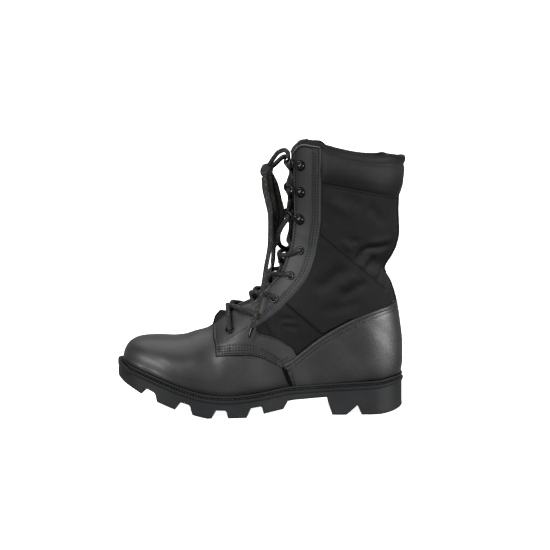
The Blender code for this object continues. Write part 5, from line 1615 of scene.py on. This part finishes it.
def tongue_point(u, v):
    """The tongue's outer face: u across it, v from its foot to its tip."""
    sigma = TONGUE_SIGMA(v)
    row = section(sigma, 0.0)[0]
    across = abs(2 * u - 1)
    y = (row["gap"] + TONGUE_SPREAD) * across
    sunk = ease(*TONGUE_FOLD_END, sigma)
    fold = TONGUE_FOLD * ease(*TONGUE_FOLD_SIGMAS, sigma) * (1 - sunk)
    inset = WALL + TONGUE_SLACK + tongue_padding(sigma)
    inset += (max(0.0, TONGUE_SINK_CURVE(sigma)) - fold) * (1 - ease(0.0, row["gap"], y))
    phi = math.asin((y / section(sigma, inset)[0]["half"]) ** (row["top_power"] / 2))
    rise = (TONGUE_TIP_RISE * across ** 2 - TONGUE_TIP_DIP) * ease(TONGUE_TIP_SIGMA, TONGUE_TOP_SIGMA, sigma)
    return Vector(upper_point(sigma + rise, phi, -1 if u < 0.5 else 1, inset))


def make_tongue():
    bm = bmesh.new()
    add_grid(bm, even(28), even(110), tongue_point)
    tidy(bm)
    tongue = piece("tongue_flap", bm, "lining", [TONGUE_SHADED_LEATHER, LINING], "tongue")
    thicken(tongue, TONGUE_THICKNESS, lined=True)


def make_panel(name, panel, columns, rows, slot, material, *nodes, thickness=PANEL_THICKNESS):
    bm = bmesh.new()
    add_grid(bm, crowded(columns), crowded(rows), panel.point, panel.side)
    tidy(bm)
    obj = piece(name, bm, slot, [material], *nodes)
    thicken(obj, thickness)


def bead(panel, u, v):
    """Height of the eyestay's beads and grooves, and of its foot, which lies lower."""
    height = -EYESTAY_FOOT_DROP * (1 - ease(0.0, EYESTAY_FOOT_SHARE, v))
    for edge, rise, distance, width in EYESTAY_BEADS:
        height += rise * bell(panel.distance(edge, u, v) - distance, width)
    return height


def eyestay_spot(u, v):
    """sigma and phi on the eyestay."""
    sigma = collar_sigma(mix(EYESTAY_FOOT_SIGMA, EYESTAY_TOP_SIGMA, v), u * EYESTAY_CORNER_SHARE)
    return sigma, mix(throat_phi(sigma), eyestay_rear_phi(sigma), u)


def make_eyestay(side_name):
    side = SIDES[side_name]
    seams = [("rear", distance) for distance in EYESTAY_REAR_ROWS] + [("front", EYESTAY_FRONT_ROW)]
    panel = Panel(eyestay_spot, side, LEATHER_HIGH, EYESTAY_EDGES, ridge=bead, seams=seams)
    node = f"eyestay_{side_name}"
    make_panel(f"{node}_leather", panel, 64, 150, "leather", EYESTAY_PAINTED_LIGHT_LEATHER, node)
    rows = [panel.row("rear", distance, 0.06, 0.985, 220) for distance in EYESTAY_REAR_ROWS]
    rows.append(panel.row("front", EYESTAY_FRONT_ROW, 0.03, 0.97, 220))
    rows.append(panel.row("top", EYESTAY_TOP_ROW, 0.12, 0.8, 30))
    sew(f"{node}_stitches", rows, EYESTAY_PITCH)
    edge_cord(f"{node}_piping", [panel.row("top", 0.9, 0.03, 0.97, 40)], PIPING_RADIUS, "leather", PIPING)


def facing_spot(u, v):
    """sigma and phi on the facing."""
    sigma = mix(VAMP_END_SIGMA - FACING_LEAN * ease(*FACING_LEAN_SHARES, v), FACING_TAIL_SIGMA, u)
    rear = eyestay_rear_phi(sigma) - EYESTAY_TUCK
    upper = max(above_edge_phi(FACING_UPPER_Z, sigma, PANEL_START_PHI), rear)
    high = mix(throat_phi(sigma), upper, ease(*FACING_RISE_SIGMAS, sigma))
    under = above_edge_phi(COUNTER_TOP_Z, sigma, high) + COUNTER_TUCK
    low = max(min(facing_lower_phi(sigma), under), high + FACING_LEAST)
    return sigma, mix(low, high, v)


def make_facing(side_name):
    side = SIDES[side_name]
    panel = Panel(facing_spot, side, FACING_HIGH, FACING_EDGES, radius=1.8,
                  seams=[("foot", distance) for distance in FACING_ROWS] + [("front", FACING_FRONT_ROW)])
    node = f"facing_{side_name}"
    make_panel(f"{node}_leather", panel, 72, 64, "leather", LEATHER, node)
    rows = [panel.row("foot", distance, 0.06, 0.93, 120) for distance in FACING_ROWS]
    rows += [panel.row("front", FACING_FRONT_ROW, 0.08, 0.94, 60), panel.row("top", 3.0, 0.02, 0.6, 80),
             panel.row("top", 2.8, 0.72, 0.97, 50), side_row(FACING_STITCH_LINE, side, FACING_HIGH)]
    rows += [panel.row("front", distance, 0.08, 0.24, 20) for distance in FACING_SHORT_ROWS]
    sew(f"{node}_stitches", rows, FACING_PITCH)
    # Dark cords at the foot of the front and lower edges: painted shadow lines under the facing's edges.
    edges = [panel.row("front", 0.15, 0.01, 0.95, 60), panel.row("foot", 0.25, 0.01, 0.97, 120)]
    edge_cord(f"{node}_seam", edges, SEAM_AND_SHADOW_LINE_RADIUS, "leather", THREAD)


def side_row(points, side, lift):
    """A row of points with the outward way, straight between two places seen from the side."""
    (x, z), (a, b) = points
    return [on_skin(*locate(mix(x, a, t), mix(z, b, t), side, lift), side, lift) for t in even(12)]


def on_welt(at):
    """The point, raised where it would reach into the welt."""
    return Vector((at.x, at.y, max(at.z, feather(at.x) + COUNTER_SEAT)))


@lru_cache(maxsize=None)
def counter_top_phi(sigma):
    if sigma >= COUNTER_BACK_SIGMA:
        return math.pi
    return above_edge_phi(COUNTER_TOP_Z, sigma, math.pi / 4)


def counter_spot(u, v):
    """sigma and phi on the counter."""
    ahead = (1 - u) ** COUNTER_CROWDING
    high = mix(COUNTER_BACK_SIGMA, COUNTER_FRONT_SIGMA, ahead)
    low = mix(HEEL_SEAT_SIGMA, COUNTER_FRONT_SIGMA, ahead)
    return mix(low, high, v), mix(feather_phi(low), counter_top_phi(high), v)


def make_counter():
    bm = bmesh.new()
    rows, edges, fronts = [], [], []
    for side in SIDES.values():
        panel = Panel(counter_spot, side, COUNTER_HIGH, COUNTER_EDGES, radius=1.4,
                      raised=on_welt, seams=[("top", distance) for distance in COUNTER_TOP_ROWS])
        add_grid(bm, even(90), crowded(56), panel.point, side)
        rows += [panel.row("top", distance, 0.03, 1.0, 150) for distance in COUNTER_TOP_ROWS]
        rows += [panel.row("front", distance, 0.05, 0.6, 20) for distance in COUNTER_FRONT_ROWS]
        # Dark cords along the top and the front edge: painted shadow lines.
        edges.append(panel.row("top", 0.2, 0.02, 0.98, 120))
        fronts += [panel.row("front", distance, 0.03, 0.97, 40) for distance in COUNTER_FRONT_SHADOW_LINES]
    tidy(bm)
    counter = piece("counter_leather", bm, "leather", [LEATHER], "counter")
    thicken(counter, PANEL_THICKNESS)
    # Painted shadow lines: dark cords along the counter's top and front edges.
    edge_cord("counter_top_painted_shadow_line", edges, SEAM_AND_SHADOW_LINE_RADIUS, "leather", THREAD)
    edge_cord("counter_front_painted_shadow_line", fronts, FRONT_SHADOW_LINE_RADIUS, "leather", THREAD)
    sew("counter_stitches", rows, COUNTER_PITCH)


def make_ankle_panel(side_name):
    side = SIDES[side_name]
    shares = even(ANKLE_STEPS)

    def seam(share):
        x = mix(ANKLE_FRONT_X - ANKLE_OVERLAP, ANKLE_BACK_X, share)
        return locate(x, ANKLE_UPPER_Z(x), side, ANKLE_HIGH)

    def under(share):
        x = mix(ANKLE_LOW_X - ANKLE_OVERLAP, ANKLE_HEEL_X, share)
        return locate(x, max(ANKLE_LOWER_Z(x), COUNTER_TOP_Z(x) - ANKLE_OVERLAP), side, ANKLE_HIGH)

    tops, feet = [seam(t) for t in shares], [under(t) for t in shares]
    curves = [[smooth_curve(shares, [spot[k] for spot in ends]) for k in (0, 1)] for ends in (feet, tops)]

    def between_seams(u, v):
        return [mix(low(u), high(u), v) for low, high in zip(*curves)]

    def spot(u, v):
        sigma, phi = between_seams(u, v)
        front, straight = between_seams(0, v)
        return sigma, phi + (eyestay_rear_phi(front) - ANKLE_TUCK - straight) * (1 - u)

    panel = Panel(spot, side, ANKLE_HIGH, ANKLE_EDGES, radius=1.2)
    node = f"ankle_panel_{side_name}"
    make_panel(f"{node}_cloth", panel, 70, 60, "shaft_cloth", CLOTH, node, thickness=ANKLE_THICKNESS)
    rows = [panel.row("top", 2.2, 0.05, 0.98, 110), panel.row("foot", 2.2, 0.05, 0.5, 60)]
    sew(f"{node}_stitches", rows, *FINE_STITCH, "shaft_cloth")
    edge = panel.row("top", 0.35, 0.04, 0.99, 90)
    edge_cord(f"{node}_seam", [edge], SEAM_AND_SHADOW_LINE_RADIUS, "shaft_cloth", THREAD)


def backstay_spot(u, v):
    """sigma and phi on the backstay's half."""
    sigma = mix(*BACKSTAY_SIGMAS, v)
    return sigma, mix(back_phi(sigma, BACKSTAY_HALF), math.pi, u)


def make_backstay():
    bm = bmesh.new()
    rows = []
    for side in SIDES.values():
        panel = Panel(backstay_spot, side, BACKSTAY_HIGH, BACKSTAY_EDGES)
        add_grid(bm, [t ** BACKSTAY_CROWDING for t in even(10)], even(90), panel.point, side)
        rows.append(panel.row("front", 1.9, 0.02, 0.98, 110))
    tidy(bm)
    tape = piece("backstay_tape", bm, "shaft_cloth", [CLOTH], "backstay")
    thicken(tape, BACKSTAY_THICKNESS)
    sew("backstay_stitches", rows, *FINE_STITCH, "shaft_cloth")


set_camera()
make_free_lace()
make_strands(make_hardware())
set_studio()
make_outsole()
make_welt()
make_insole()
make_vamp()
make_shaft()
make_cuff()
make_tongue()
make_counter()
make_backstay()
for side_name in SIDES:
    make_facing(side_name)
    make_eyestay(side_name)
    make_ankle_panel(side_name)
